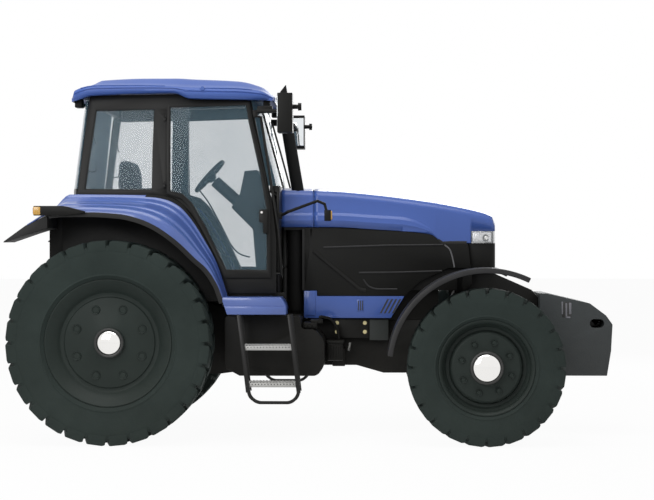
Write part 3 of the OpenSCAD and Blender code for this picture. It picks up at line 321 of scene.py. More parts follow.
def spun(bm, profile, steps=128):
    """Skin of revolution about the Y axis through (radius, distance along it) points."""
    verts = [bm.verts.new((r, y, 0)) for r, y in profile]
    edges = [bm.edges.new(pair) for pair in zip(verts, verts[1:])]
    bmesh.ops.spin(bm, geom=verts + edges, axis=(0, 1, 0), cent=(0, 0, 0),
                   angle=math.tau, steps=steps, use_merge=True)
    bmesh.ops.remove_doubles(bm, verts=bm.verts, dist=0.00001)


def between(share, table):
    """Value at a share in rows of (share, value), along straight stretches."""
    for (s0, v0), (s1, v1) in zip(table, table[1:]):
        if share <= s1:
            return v0 + (v1 - v0) * (share - s0) / (s1 - s0)
    return table[-1][1]


def set_on_axle(bm, centre):
    """Moves a left wheel's mesh to its centre, and mirrors it first where that is on the right."""
    if centre.y < 0:
        bmesh.ops.scale(bm, vec=(1, -1, 1), verts=bm.verts)
        bmesh.ops.reverse_faces(bm, faces=bm.faces)
    bmesh.ops.translate(bm, vec=centre, verts=bm.verts)


def lug_row(radius, half_width, count):
    """Bar lugs of the tyre's +Y side, from mid tread over the shoulder, with their feet in the casing."""
    pitch = math.tau / count
    bm = bmesh.new()
    bmesh.ops.create_cube(bm, size=1)
    lengthwise = [e for e in bm.edges if abs(e.verts[0].co.x - e.verts[1].co.x) > 0.5]
    bmesh.ops.subdivide_edges(bm, edges=lengthwise, cuts=6)
    crown = [e for e in bm.edges if min(v.co.z for v in e.verts) > 0.4 and e.calc_face_angle(0) > 1]
    bevelled(bm, crown, 0.08, 2)
    for v in bm.verts:
        u, across, up = v.co.x + 0.5, 2 * v.co.y, v.co.z + 0.5
        foot = radius - LUG_HEIGHT - between(u, ((0, 0.010), (0.75, 0.012), (1, 0.05)))
        top = radius - between(u, ((0, 0), (0.85, 0.002), (1, 0.010)))
        width = pitch * between(u, ((0, 0.18), (1, 0.40))) * (1.1 - 0.12 * up)
        turn = pitch * 0.5 * u + width * across
        r = foot + (top - foot) * up
        v.co = (r * math.sin(turn), half_width * between(u, ((0, 0.03), (0.85, 0.9), (1, 0.985))),
                -r * math.cos(turn))
    one = bm.verts[:] + bm.edges[:] + bm.faces[:]
    for k in range(1, count):
        copied = bmesh.ops.duplicate(bm, geom=one)["geom"]
        bmesh.ops.rotate(bm, verts=[g for g in copied if isinstance(g, bmesh.types.BMVert)], cent=(0, 0, 0),
                         matrix=Matrix.Rotation(pitch * k, 3, "Y"))
    return bm


def joined(bm, other):
    """Adds another mesh to this one, and lets the other go."""
    loose = bpy.data.meshes.new("loose")
    other.to_mesh(loose)
    other.free()
    bm.from_mesh(loose)
    bpy.data.meshes.remove(loose)


def tyre(name, body, bead, lugs):
    """A tyre in the place of its CAD node, and with its lugs where the node's are."""
    low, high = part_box(name)
    centre = (low + high) / 2
    radius, half_width = (high.x - low.x) / 2, (high.y - low.y) / 2
    rim_low, rim_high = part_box(name.replace("tyre", "rim"))
    rim = (rim_high.x - rim_low.x) / 2
    wall = radius - rim
    casing = radius - LUG_HEIGHT
    half = [
        (rim, bead), (rim + 0.03 * wall, 1.06 * bead), (rim + 0.09 * wall, 0.955 * half_width),
        (rim + 0.10 * wall, 0.975 * half_width), (rim + 0.13 * wall, 0.975 * half_width),
        (rim + 0.14 * wall, 0.965 * half_width), (rim + 0.3 * wall, 0.982 * half_width),
        (rim + 0.5 * wall, 0.993 * half_width), (rim + 0.66 * wall, 0.99 * half_width),
        (casing - 0.025, 0.965 * half_width), (casing - 0.010, 0.93 * half_width),
        (casing - 0.004, 0.87 * half_width), (casing - 0.002, 0.6 * half_width), (casing, 0.25 * half_width),
    ]
    bm = bmesh.new()
    spun(bm, half + [(r, -y) for r, y in reversed(half)] + half[:1])
    bmesh.ops.recalc_face_normals(bm, faces=bm.faces)
    for side in (1, -1):
        row = lug_row(radius, half_width, lugs)
        if side < 0:
            bmesh.ops.rotate(row, verts=row.verts, cent=(0, 0, 0),
                             matrix=Matrix.Rotation(math.pi / lugs, 3, "Y"))
            bmesh.ops.scale(row, vec=(1, -1, 1), verts=row.verts)
        bmesh.ops.recalc_face_normals(row, faces=row.faces)
        joined(bm, row)
    set_on_axle(bm, centre)
    piece(name + "_rubber", bm, tyre_rubber, body, [name], sharp=38)


def wheel_face(end, side, nut_circle, nut_radius, nut_height, cap_radius, cap_seat, first):
    """Wheel nuts' caps, and the hub's cap in its dark ring, on the outer face of a wheel's disc."""
    low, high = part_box(f"{end}_rim_{side}")
    centre = (low + high) / 2
    caps, ring, nuts = bmesh.new(), bmesh.new(), bmesh.new()
    arc = [math.radians(a) for a in range(0, 90, 10)]
    spun(caps, [(cap_radius * math.cos(a), cap_seat + CAP_RISE * math.sin(a)) for a in arc]
         + [(0, cap_seat + CAP_RISE)], 64)
    spun(ring, [
        (cap_radius + 0.002, cap_seat - 0.002), (cap_radius + 0.003, cap_seat + 0.007),
        (cap_radius + 0.012, cap_seat + 0.009), (cap_radius + 0.022, cap_seat + 0.004),
        (cap_radius + 0.026, cap_seat - 0.004),
    ], 64)
    for _ in range(NUTS):
        place = Matrix.Translation((nut_circle, 0, nut_height + 0.005))
        boss = bmesh.ops.create_cone(nuts, cap_ends=True, segments=28, radius1=nut_radius,
                                     radius2=nut_radius * 0.93, depth=0.010, matrix=place)
        top = list({f for v in boss["verts"] for f in v.link_faces if f.normal.z > 0.9})
        bmesh.ops.inset_region(nuts, faces=top, thickness=nut_radius * 0.24, depth=-0.006)
        bmesh.ops.inset_region(nuts, faces=top, thickness=nut_radius * 0.1, depth=0.003)
        bmesh.ops.rotate(nuts, verts=nuts.verts, cent=(0, 0, 0),
                         matrix=Matrix.Rotation(math.tau / NUTS, 3, "Z"))
    bmesh.ops.rotate(nuts, verts=nuts.verts, cent=(0, 0, 0), matrix=Matrix.Rotation(first, 3, "Z"))
    bmesh.ops.rotate(nuts, verts=nuts.verts, cent=(0, 0, 0), matrix=Matrix.Rotation(-math.pi / 2, 3, "X"))
    for name, bm, material, slot in (("hub_cap", caps, bright_cap, "lamp"),
                                     ("hub_ring", ring, black_and_painted_shade, "rim_paint"),
                                     ("nut_caps", nuts, rim_paint, "rim_paint")):
        bmesh.ops.recalc_face_normals(bm, faces=bm.faces)
        set_on_axle(bm, centre)
        piece(f"{end}_{name}_{side}", bm, material, f"{end}_wheel_{side}")


for side in ("right", "left"):
    for end, bead, lugs in (("rear", 0.19, REAR_LUGS), ("front", 0.16, FRONT_LUGS)):
        wheel = f"{end}_wheel_{side}"
        tyre(f"{end}_tyre_{side}", wheel, bead, lugs)
        softened(f"{end}_rim_{side}", 0.003, rim_paint, wheel)
    wheel_face("rear", side, nut_circle=0.311, nut_radius=0.039, nut_height=0.108,
               cap_radius=0.106, cap_seat=0.150, first=math.radians(22.5))
    wheel_face("front", side, nut_circle=0.227, nut_radius=0.028, nut_height=0.118,
               cap_radius=0.121, cap_seat=0.165, first=math.radians(17))


# ---------------------------------------------------------------- hood, cowl and nose
# Pressed steel sheet in a deep gloss blue. The hood is one piece, hinged at the cowl, with a pressed swage
# along each side that turns down behind the headlamps.

blue_paint = finish("blue_paint", (0.058, 0.118, 0.40), 0.3, coat=0.25, gloss=0.3, Grain_Scale=60,
                    Grain_Depth=0.00004, Dust=0.03, Mottle=0.035)

COWL_X0, HOOD_X1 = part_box("cowl")[0].x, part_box("hood_shell")[1].x
HOOD_X0, HOOD_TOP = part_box("hood_shell")[0].x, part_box("cowl")[1].z
HOOD_HALF_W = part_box("cowl")[1].y
LAMP_TOP, LAMP_X0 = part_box("headlamps")[1].z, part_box("headlamps")[0].x - 0.002

# Columns: share of the length of cowl and hood, how much narrower a side is, drop of its lower edge, and
# drop of the crown.
HOOD_SHAPE = (
    (0, 0, 0.367, 0), (0.236, 0, 0.367, 0.012), (0.43, 0.003, 0.388, 0.044), (0.59, 0.008, 0.408, 0.082),
    (0.67, 0.011, 0.424, 0.104), (0.705, 0.012, 0.440, 0.114), (0.735, 0.014, 0.485, 0.124),
    (0.75, 0.015, 0.514, 0.129), (0.925, 0.028, 0.514, 0.200), (0.985, 0.040, 0.514, 0.244),
    (1, 0.058, 0.514, 0.300),
)
SHOULDER = 0.07


def eased(share, rows, column):
    """Value of a column at a share, on a smooth curve through the rows that never overshoots them."""
    table = [(row[0], row[column]) for row in rows]
    slopes = [(b[1] - a[1]) / (b[0] - a[0]) for a, b in zip(table, table[1:])]
    inner = [2 * p * q / (p + q) if p * q > 0 else 0 for p, q in zip(slopes, slopes[1:])]
    bends = [slopes[0]] + inner + [slopes[-1]]
    k = next((k for k, row in enumerate(table[1:]) if share <= row[0]), len(slopes) - 1)
    (s0, v0), (s1, v1) = table[k:k + 2]
    t, width = (share - s0) / (s1 - s0), s1 - s0
    rise = 3 * t * t - 2 * t ** 3
    bend = bends[k] * (t ** 3 - 2 * t * t + t) + bends[k + 1] * (t ** 3 - t * t)
    return v0 + (v1 - v0) * rise + width * bend


def lofted(bm, rings, closed=False):
    """Skin over rings of points, all with as many points. Closed rings meet themselves again."""
    across = len(rings[0]) + closed
    made = bmesh.ops.create_grid(bm, x_segments=across - 1, y_segments=len(rings) - 1, size=0.5)["verts"]
    for k, v in enumerate(made):
        ring = rings[k // across]
        v.co = ring[k % across % len(ring)]
    bmesh.ops.remove_doubles(bm, verts=made, dist=0.000001)


def mirrored(half):
    """A ring's points on the left, the last on the middle plane, then mirror images of the others."""
    return half + [(x, -y, z) for x, y, z in reversed(half[:-1])]


def sheet_metal(skin, thickness):
    """Gives an open skin, its faces looking out, the thickness of its sheet."""
    folded = skin.modifiers.new("thickness", "SOLIDIFY")
    folded.thickness = thickness
    folded.offset = -1


def facing_out(bm, towards):
    """Turns a sheet's faces so that its first face looks towards a direction."""
    bmesh.ops.recalc_face_normals(bm, faces=bm.faces)
    bm.faces.ensure_lookup_table()
    if bm.faces[0].normal.dot(towards) < 0:
        bmesh.ops.reverse_faces(bm, faces=bm.faces)


def hood_ring(x):
    """Half of the section of cowl and hood at x, from the lower edge over bead and swage to the crown."""
    share = (x - COWL_X0) / (HOOD_X1 - COWL_X0)
    wide, edge, crown = (eased(share, HOOD_SHAPE, k) for k in (1, 2, 3))
    w, z0, z1 = HOOD_HALF_W - 0.022 - wide, HOOD_TOP - edge, HOOD_TOP - crown
    # The swage dies out in the corner behind the headlamp
    swage = 1 if x < 0.75 else max(0.0, math.cos((x - 0.75) / 0.36 * math.pi / 2)) if x < 1.11 else 0
    rise = 0.02 + 0.12 * swage
    half = [
        (w + out * swage, z0 + up * rise) for out, up in (
            (0.020, 0), (0.021, 0.34), (0.026, 0.40), (0.026, 0.46), (0.021, 0.53), (0.022, 0.70),
            (0.019, 0.77), (0.004, 0.90), (0, 0.97),
        )
    ]
    half += [
        (w - SHOULDER * (1 - math.cos(a)) + bead, z1 - 0.024 - SHOULDER * (1 - math.sin(a)) + bead)
        for a, bead in ((math.radians(9 * k), 0.003 if k == 7 else 0) for k in range(11))
    ]
    half += [(y, z1 - 0.024 * (y / (w - SHOULDER)) ** 2)
             for y in ((w - SHOULDER) * k / 8 for k in range(7, -1, -1))]
    return mirrored([(x, y, z) for y, z in half])


HINGE_X, HINGE_Z, COWL_SHEET = HOOD_X0 + 0.014, HOOD_TOP - 0.058, 0.006


def cowl_edge(z):
    """How far forward the cowl reaches at a height, clear of the hood's rear edge as the hood swings."""
    high = z - HINGE_Z
    swing = (HINGE_X - HOOD_X0) ** 2 + high ** 2 - (high - COWL_SHEET) ** 2
    return min(HOOD_X0 - 0.004, HINGE_X - math.sqrt(swing) - 0.003) if high > 0 else HOOD_X0 - 0.004


bm = bmesh.new()
cowl_rings = [hood_ring(COWL_X0 + (HOOD_X0 - 0.025 - COWL_X0) * k / 8) for k in range(9)]
lofted(bm, cowl_rings + [[(cowl_edge(z), y, z) for _, y, z in cowl_rings[-1]]])
facing_out(bm, Vector((0, 1, 0)))
sheet_metal(piece("cowl_skin", bm, blue_paint, "chassis", ["cowl"], sharp=40), COWL_SHEET)

bm = bmesh.new()
lofted(bm, [hood_ring(HOOD_X0 + (HOOD_X1 - HOOD_X0) * math.sin(math.pi / 2 * k / 70)) for k in range(71)])
rim = [e for e in bm.edges if min(v.co.x for v in e.verts) > HOOD_X1 - 0.00001]
corners = [v for v in bm.verts if v.co.x > HOOD_X1 - 0.00001 and sum(e in rim for e in v.link_edges) == 1]
bmesh.ops.edgeloop_fill(bm, edges=rim + [bm.edges.new(corners)])
bevelled(bm, rim, 0.014, 3)
# Corners cut out for the headlamps
for at, normal in ((Vector((LAMP_X0, 0, 0)), (1, 0, 0)), (Vector((0, 0, LAMP_TOP)), (0, 0, 1))):
    bmesh.ops.bisect_plane(bm, geom=bm.verts[:] + bm.edges[:] + bm.faces[:],
                           plane_co=at, plane_no=normal, dist=0.00001)
bmesh.ops.delete(bm, geom=[
    f for f in bm.faces if f.calc_center_median().x > LAMP_X0 and f.calc_center_median().z < LAMP_TOP
], context="FACES")
facing_out(bm, Vector((0, 1, 0)))
sheet_metal(piece("hood_skin", bm, blue_paint, "hood", ["hood_shell"], sharp=40), 0.012)

# Black plastic about twice as light as the other and glossier; its lighter colour is painted highlight on the
# panels' beads and the front fenders
satin_plastic_painted_highlight = finish("satin_plastic_painted_highlight", (0.016, 0.016, 0.017), 0.42, gloss=0.3, Grain_Scale=420,
                       Grain_Depth=0.0002, Dust=0.05, Mottle=0.08)
black_plastic = finish("black_plastic", (0.0085, 0.0085, 0.0080), 0.42, gloss=0.12, Grain_Scale=420,
                       Grain_Depth=0.0003, Dust=0.06, Mottle=0.1)
softened("grille", 0.004, black_plastic, "hood")


# ---------------------------------------------------------------- hood hinges and side panels
# The hood swings on two arms under the cowl. The side panels under it are moulded black plastic with raised
# ribs, and a slanted strut crosses each of them.

PANEL_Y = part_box("side_panels")[1].y - 0.006
# Ends of the panel in X and the length of its smooth upper edge, its foot and the step above that in Z
PANEL_X0, PANEL_X1, PANEL_RUN = -0.118, 1.383, 1.26
PANEL_FOOT, PANEL_STEP, HOOD_GAP = 1.290, 1.338, 0.006


def swept(bm, points, width, height=None, segments=12):
    """A bar or tube of oval section along points, bent smoothly where they turn."""
    height = height or width
    points = [Vector(p) for p in points]
    rings = []
    for k, p in enumerate(points):
        before, after = points[max(k - 1, 0)], points[min(k + 1, len(points) - 1)]
        ahead = (after - before).normalized()
        aside = ahead.cross(Vector((0, 0, 1)))
        aside = Vector((0, 1, 0)) if aside.length < 0.05 else aside.normalized()
        above = aside.cross(ahead)
        rings.append([
            p + aside * width / 2 * math.cos(a) + above * height / 2 * math.sin(a)
            for a in (math.tau * j / segments for j in range(segments))
        ])
    lofted(bm, rings, closed=True)
    bmesh.ops.holes_fill(bm, edges=[e for e in bm.edges if len(e.link_faces) == 1])


def rounded(points, radius, steps=5):
    """Points of a bent tube's middle line, each corner turned on an arc-like curve."""
    points = [Vector(p) for p in points]
    path = [points[0]]
    for before, at, after in zip(points, points[1:], points[2:]):
        reach = min(radius, (before - at).length / 2.1, (after - at).length / 2.1)
        start, end = at + (before - at).normalized() * reach, at + (after - at).normalized() * reach
        path += [
            start * (1 - t) ** 2 + at * 2 * t * (1 - t) + end * t * t
            for t in (k / steps for k in range(steps + 1))
        ]
    return path + [points[-1]]


def boxed(bm, low, high, width=0.003, segments=2):
    """A block between two corners with its edges rounded."""
    made = bmesh.ops.create_cube(bm, size=1, matrix=Matrix.Translation((Vector(low) + Vector(high)) / 2)
                                 @ Matrix.Diagonal((*(abs(b - a) for a, b in zip(low, high)), 1)))["verts"]
    bevelled(bm, list(dict.fromkeys(e for v in made for e in v.link_edges)), width, segments)


def hood_edge(x):
    """Height of the lower edge of cowl and hood."""
    return HOOD_TOP - eased((x - COWL_X0) / (HOOD_X1 - COWL_X0), HOOD_SHAPE, 2)


def plate(bm, outline, y0, y1, width=0.003, segments=2):
    """A profile drawn in X and Z, as thick as from y0 to y1, with its rims rounded."""
    made = bmesh.ops.create_circle(bm, cap_ends=True, segments=len(outline), radius=1)["verts"]
    for v, (x, z) in zip(made, outline):
        v.co = (x, y0, z)
    face = next(f for f in made[0].link_faces if len(f.verts) == len(outline))
    walls = bmesh.ops.extrude_face_region(bm, geom=[face])["geom"]
    bmesh.ops.delete(bm, geom=[face], context="FACES_ONLY")
    far = [g for g in walls if isinstance(g, bmesh.types.BMVert)]
    bmesh.ops.translate(bm, verts=far, vec=(0, y1 - y0, 0))
    open_rim = dict.fromkeys(e for v in made for e in v.link_edges if len(e.link_faces) == 1)
    bmesh.ops.edgeloop_fill(bm, edges=list(open_rim))
    rims = list(dict.fromkeys(e for v in made + far for e in v.link_edges))
    bmesh.ops.recalc_face_normals(bm, faces=list(dict.fromkeys(f for e in rims for f in e.link_faces)))
    if width:
        bevelled(bm, rims, width, segments)


# The hood's hinges: arms under the cowl, and ears on the hood with the ends of their pins
bm, ears = bmesh.new(), bmesh.new()
boxed(bm, (HOOD_X0 - 0.125, 0.150, HINGE_Z - 0.026), (HOOD_X0 - 0.055, 0.175, HOOD_TOP - 0.020))
boxed(bm, (HOOD_X0 - 0.125, 0.150, HINGE_Z - 0.026), (HINGE_X + 0.010, 0.175, HINGE_Z + 0.010))
for y in (0.137, 0.176):
    boxed(ears, (HOOD_X0 + 0.001, y, HINGE_Z - 0.014), (HOOD_X0 + 0.028, y + 0.012, HOOD_TOP - 0.020))
place = Matrix.Translation((HINGE_X, 0.190, HINGE_Z))
bmesh.ops.create_cone(ears, cap_ends=True, segments=20, radius1=0.011, radius2=0.011, depth=0.006,
                      matrix=place @ Matrix.Rotation(math.pi / 2, 4, "X"))
for name, mesh, body in (("hinge_arms", bm, "chassis"), ("hinge_ears", ears, "hood")):
    both_sides(mesh)
    piece(name, mesh, black_paint, body)

# The panel follows the hood's edge at the top, and has a step in at its foot for the front wheel
bm = bmesh.new()
along = [PANEL_X0 + PANEL_RUN * k / 24 for k in range(25)] + [PANEL_X1]
top_edge = [(x, hood_edge(x) - HOOD_GAP) for x in along]
outline = [(0.004, PANEL_FOOT), (0.004, PANEL_STEP), (PANEL_X0, PANEL_STEP)] + top_edge + [
    (1.405, 1.545), (1.2, 1.545), (0.94, 1.42), (0.805, PANEL_FOOT),
]
plate(bm, outline, PANEL_Y - 0.020, PANEL_Y)
# Inner panel beside the radiator, seen over the front wheel
plate(bm, ((0.80, 1.34), (1.02, 1.56), (1.42, 1.56), (1.42, 1.40), (1.36, 1.34)), 0.300, 0.312)
both_sides(bm)
piece("side_panel_mouldings", bm, black_plastic, "chassis", ["side_panels"])

# Moulded beads: two long ribs and a short bent one, in a lighter plastic than the panel as painted highlight,
# and the strut that slants down and forwards over the panel.
bm = bmesh.new()
for route in (
    ((0.06, 1.733), (0.64, 1.752), (1.15, 1.757)), ((0.384, 1.502), (0.76, 1.506), (1.144, 1.518)),
    ((0.425, 1.44), (0.47, 1.375), (0.54, 1.352), (0.735, 1.352)),
):
    swept(bm, rounded([(x, PANEL_Y + 0.004, z) for x, z in route], 0.05), 0.009, 0.015)
both_sides(bm)
piece("panel_beads", bm, satin_plastic_painted_highlight, "chassis")
bm = bmesh.new()
route = ((-0.03, 1.70), (0.03, 1.645), (0.40, 1.345), (0.45, 1.340))
swept(bm, rounded([(x, PANEL_Y + 0.006, z) for x, z in route], 0.05), 0.018, 0.034)
both_sides(bm)
piece("panel_struts", bm, black_paint, "chassis")


# ---------------------------------------------------------------- roof
# One moulded shell in body colour, seated on the cab's rails. It has a band round its edge, a raised crown
# and a pressed line along each side.

ROOF_LOW, ROOF_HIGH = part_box("cab_roof")
ROOF_SEAT = 3.113
# Columns: share of the length, narrower half width, lower edge, shoulder and crown above the seat
ROOF_SHAPE = (
    (0, 0.120, -0.072, -0.020, -0.008), (0.017, 0.050, -0.066, 0.030, 0.060),
    (0.095, 0.008, -0.022, 0.066, 0.102), (0.14, 0.002, -0.016, 0.072, 0.140),
    (0.36, 0, -0.002, 0.070, 0.158), (0.51, 0, 0.002, 0.062, 0.158), (0.59, 0, -0.048, 0.052, 0.150),
    (0.82, 0.004, -0.058, 0.044, 0.130), (0.94, 0.040, -0.062, 0.022, 0.076),
    (1, 0.120, -0.066, -0.030, -0.008),
)


def roof_ring(share):
    """Section of the roof from the pocket over the rails, round its edge and over the crown."""
    wide, edge, shoulder, crown = (eased(share, ROOF_SHAPE, k) for k in (1, 2, 3, 4))
    x = ROOF_LOW.x + share * (ROOF_HIGH.x - ROOF_LOW.x)
    w, z0, z1, z2 = ROOF_HIGH.y - wide, ROOF_SEAT + edge, ROOF_SEAT + shoulder, ROOF_SEAT + crown
    tall = z1 - z0
    # The underside lies 3 mm into the rails, and hangs lower ahead of and behind them
    pocket = ROOF_SEAT - (0.003 if -2.08 < x < -0.52 else 0.040 if x < -0.40 else 0.055)
    half = [
        (0, max(pocket, z0)), (0.735, max(pocket, z0) + 0.0001), (0.7355, z0), (w - 0.024, z0),
        (w - 0.014, z0 + 0.003), (w - 0.004, z0 + 0.20 * tall), (w, z0 + 0.27 * tall),
        (w - 0.001, z0 + 0.52 * tall), (w - 0.010, z0 + 0.57 * tall), (w - 0.010, z0 + 0.62 * tall),
        (w - 0.004, z0 + 0.67 * tall), (w - 0.008, z0 + 0.82 * tall), (w - 0.020, z0 + 0.94 * tall),
        (w - 0.040, z1), (w - 0.065, z1 + 0.004), (0.86 * w, z1 + 0.16 * (z2 - z1)),
        (0.80 * w, z1 + 0.40 * (z2 - z1)), (0.74 * w, z1 + 0.72 * (z2 - z1)),
        (0.69 * w, z1 + 0.90 * (z2 - z1)), (0.62 * w, z2 - 0.002), (0.4 * w, z2), (0.2 * w, z2),
    ]
    return [(x, y, z) for y, z in half] + [(x, 0, z2)] + [(x, -y, z) for y, z in reversed(half[1:])]


bm = bmesh.new()
turns = {row[0] for row in ROOF_SHAPE} | {0.004, 0.009, 0.013, 0.99, 0.996}
steps = sorted({k / 60 for k in range(61)} | turns)
lofted(bm, [roof_ring(s) for s in steps], closed=True)
bmesh.ops.holes_fill(bm, edges=[e for e in bm.edges if len(e.link_faces) == 1])
bmesh.ops.recalc_face_normals(bm, faces=bm.faces)
roof_paint = finish("roof_paint", (0.052, 0.108, 0.36), 0.42, coat=0.1, gloss=0.3, Grain_Scale=90,
                    Grain_Depth=0.0001, Dust=0.04, Mottle=0.04)
piece("roof_shell", bm, roof_paint, "chassis", ["cab_roof"], sharp=42)

# Pressed line along each side of the roof, stepping up where the side grows taller, and a round vent cap
bm = bmesh.new()
for route in (((0.05, 0.93), (0.30, 0.93), (0.47, 0.93)),
              ((0.50, 0.34), (0.57, 0.62), (0.66, 0.93), (0.90, 0.93))):
    points = []
    for k in range(13):
        share = route[0][0] + (route[-1][0] - route[0][0]) * k / 12
        wide, edge, shoulder = (eased(share, ROOF_SHAPE, j) for j in (1, 2, 3))
        rise = between(share, route)
        points.append((ROOF_LOW.x + share * (ROOF_HIGH.x - ROOF_LOW.x),
                       ROOF_HIGH.y - wide - 0.010 - 0.006 * (rise > 0.8),
                       ROOF_SEAT + edge + rise * (shoulder - edge)))
    swept(bm, points, 0.012, 0.010)
vent = Matrix.Translation((-1.004, ROOF_HIGH.y - 0.006, 3.150)) @ Matrix.Rotation(-math.pi / 2, 4, "X")
bmesh.ops.create_cone(bm, cap_ends=True, segments=24, radius1=0.022, radius2=0.018, depth=0.012, matrix=vent)
both_sides(bm)
piece("roof_beads", bm, roof_paint, "chassis")


# ---------------------------------------------------------------- cab, doors and glass
# Pressed and welded frame and doors in satin black. The panes are bonded in, faintly blue-grey, and carry a
# thin film of dust.

for node in ("cab_sides", "cab_frame"):
    softened(node, 0.005, black_paint, "chassis")
for node, width in (("cab_floor", 0.004), ("cab_walls", 0.006)):
    softened(node, width, black_plastic, "chassis")
for node in ("door_right", "door_left"):
    softened(node, 0.005, black_paint, node)

window = bpy.data.materials.new("tinted_window_glass")
window.use_nodes = True
tree = window.node_tree
pane = tree.nodes["Principled BSDF"].inputs
pane["Roughness"].default_value = 0.03
pane["IOR"].default_value = 1.45
# A film of dust makes a pane a little denser in patches. At glancing angles the pane is made denser still, so
# more of its blue-grey tint shows: a painted reflection
place = node_of(tree, "ShaderNodeTexCoord").outputs["Object"]
film = node_of(tree, "ShaderNodeTexNoise",
               {"Vector": place, "Scale": 2.2, "Detail": 5, "Roughness": 0.6}).outputs["Fac"]
tint = node_of(tree, "ShaderNodeMix", {0: film, 6: (0.17, 0.29, 0.36, 1), 7: (0.20, 0.33, 0.41, 1)},
               data_type="RGBA")
density = node_of(tree, "ShaderNodeMapRange", {
    "Value": film, "From Min": 0.3, "From Max": 0.7, "To Min": 0.14, "To Max": 0.18,
})
painted_glancing_reflection = node_of(tree, "ShaderNodeFresnel", {"IOR": 1.3})
tree.links.new(tint.outputs[2], pane["Base Color"])
tree.links.new(worked(tree, "ADD", density.outputs[0], painted_glancing_reflection.outputs[0], clamped=True), pane["Alpha"])


def dress(node, material):
    """Gives a CAD node, whose own shape is right, its material."""
    slots = nodes[node].material_slots
    for each in slots:
        each.material = material
    if not slots:
        nodes[node].data.materials.append(material)


for node in ("cab_glass", "door_right_glass", "door_left_glass"):
    dress(node, window)


# ---------------------------------------------------------------- rear fenders and their trims
# Deep fenders in the body's blue, made a little lighter and greyer as painted highlight, sweep from behind
# the wheel down to the steps. A black rubber strip edges each lip, a flap hangs at the tail, and the step
# tray and the rear lamp sit on them.

FENDER_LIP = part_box("rear_fenders")[1].y - 0.004
REAR_AXLE = Vector((-1.8, 0, 0.9))
FENDER_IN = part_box("cab_walls")[1].y
# Columns: share of the way round, X and Z of the inner edge, X and Z of the lip, how far in the lip is
FENDER_SHAPE = (
    (0, -2.500, 1.962, -2.500, 1.932, 0), (0.09, -2.330, 2.090, -2.320, 2.022, 0),
    (0.16, -2.190, 2.208, -2.180, 2.036, 0), (0.28, -1.900, 2.206, -1.950, 2.038, 0),
    (0.40, -1.600, 2.202, -1.690, 2.022, 0), (0.47, -1.440, 2.198, -1.530, 1.985, 0),
    (0.53, -1.325, 2.180, -1.409, 1.935, 0.008), (0.59, -1.214, 2.126, -1.290, 1.860, 0.032),
    (0.65, -1.116, 2.021, -1.171, 1.760, 0.092), (0.75, -0.988, 1.816, -1.060, 1.645, 0.152),
    (0.87, -0.869, 1.580, -0.950, 1.540, 0.190), (0.96, -0.805, 1.375, -0.860, 1.400, 0.205),
    (1, -0.783, 1.300, -0.805, 1.250, 0.210),
)
# Columns: share of the way from the fender's inner shoulder to its outer edge, share of the drop to the lip
FENDER_SECTION = (
    (0, 0), (0.02, 0.10), (0.05, 0.17), (0.08, 0.20), (0.16, 0.24), (0.21, 0.27), (0.23, 0.31), (0.25, 0.35),
    (0.29, 0.37), (0.45, 0.43), (0.64, 0.50), (0.69, 0.53), (0.71, 0.57), (0.73, 0.61), (0.78, 0.63),
    (0.9, 0.67), (0.96, 0.74), (0.99, 0.86), (1, 1),
)


def inward(x, z, d):
    """A point moved towards the rear axle."""
    v = Vector((REAR_AXLE.x - x, REAR_AXLE.z - z)).normalized()
    return x + d * v.x, z + d * v.y


def fender_point(share):
    """Inner edge, lip, and the lip's distance from the middle plane, at a share of the way round."""
    x0, z0, x1, z1, back = (eased(share, FENDER_SHAPE, k) for k in (1, 2, 3, 4, 5))
    return (x0, z0), (x1, z1), FENDER_LIP - back


def fender_ring(share):
    """Section of the fender from the cab's wall to its lip, with its pressed lines."""
    (x0, z0), (x1, z1), lip = fender_point(share)
    top = [(FENDER_IN, 0), (0.78, 0)] + [(0.80 + p * (lip - 0.80), q) for p, q in FENDER_SECTION]
    return [(x0 + q * (x1 - x0), y, z0 + q * (z1 - z0)) for y, q in top]


bm = bmesh.new()
round_it = [k / 64 for k in range(65)]
lofted(bm, [fender_ring(s) for s in round_it])
facing_out(bm, Vector((-0.5, 0, 1)))
bmesh.ops.solidify(bm, geom=bm.faces, thickness=0.012)
# Foot of the rear lamp, and the tray over the steps: a folded box with a rounded front corner
boxed(bm, (-2.29, FENDER_LIP - 0.034, 2.02), (-2.11, FENDER_LIP + 0.004, 2.066))
TRAY = ((-0.800, 1.300), (-0.800, 1.262), (-0.760, 1.149), (-0.243, 1.149), (-0.243, 1.215), (-0.262, 1.262),
        (-0.290, 1.300))
plate(bm, TRAY, FENDER_IN + 0.12, FENDER_LIP - 0.056, 0.006)
# Raised lower rim of the tray, which makes its upper half a pocket
plate(bm, ((-0.784, 1.222), (-0.759, 1.152), (-0.246, 1.152), (-0.246, 1.222)), FENDER_LIP - 0.060,
      FENDER_LIP - 0.044, 0.005)
both_sides(bm)
# The body's blue made a little lighter and greyer, a painted highlight for the light on the fenders' upper
# faces, under a stronger coat
fender_paint_painted_light = finish("fender_paint_painted_light", (0.072, 0.126, 0.38), 0.3, coat=0.6, gloss=0.45, Grain_Scale=60,
                      Grain_Depth=0.00004, Dust=0.03)
piece("fender_skins", bm, fender_paint_painted_light, "chassis", ["rear_fenders"], sharp=40)

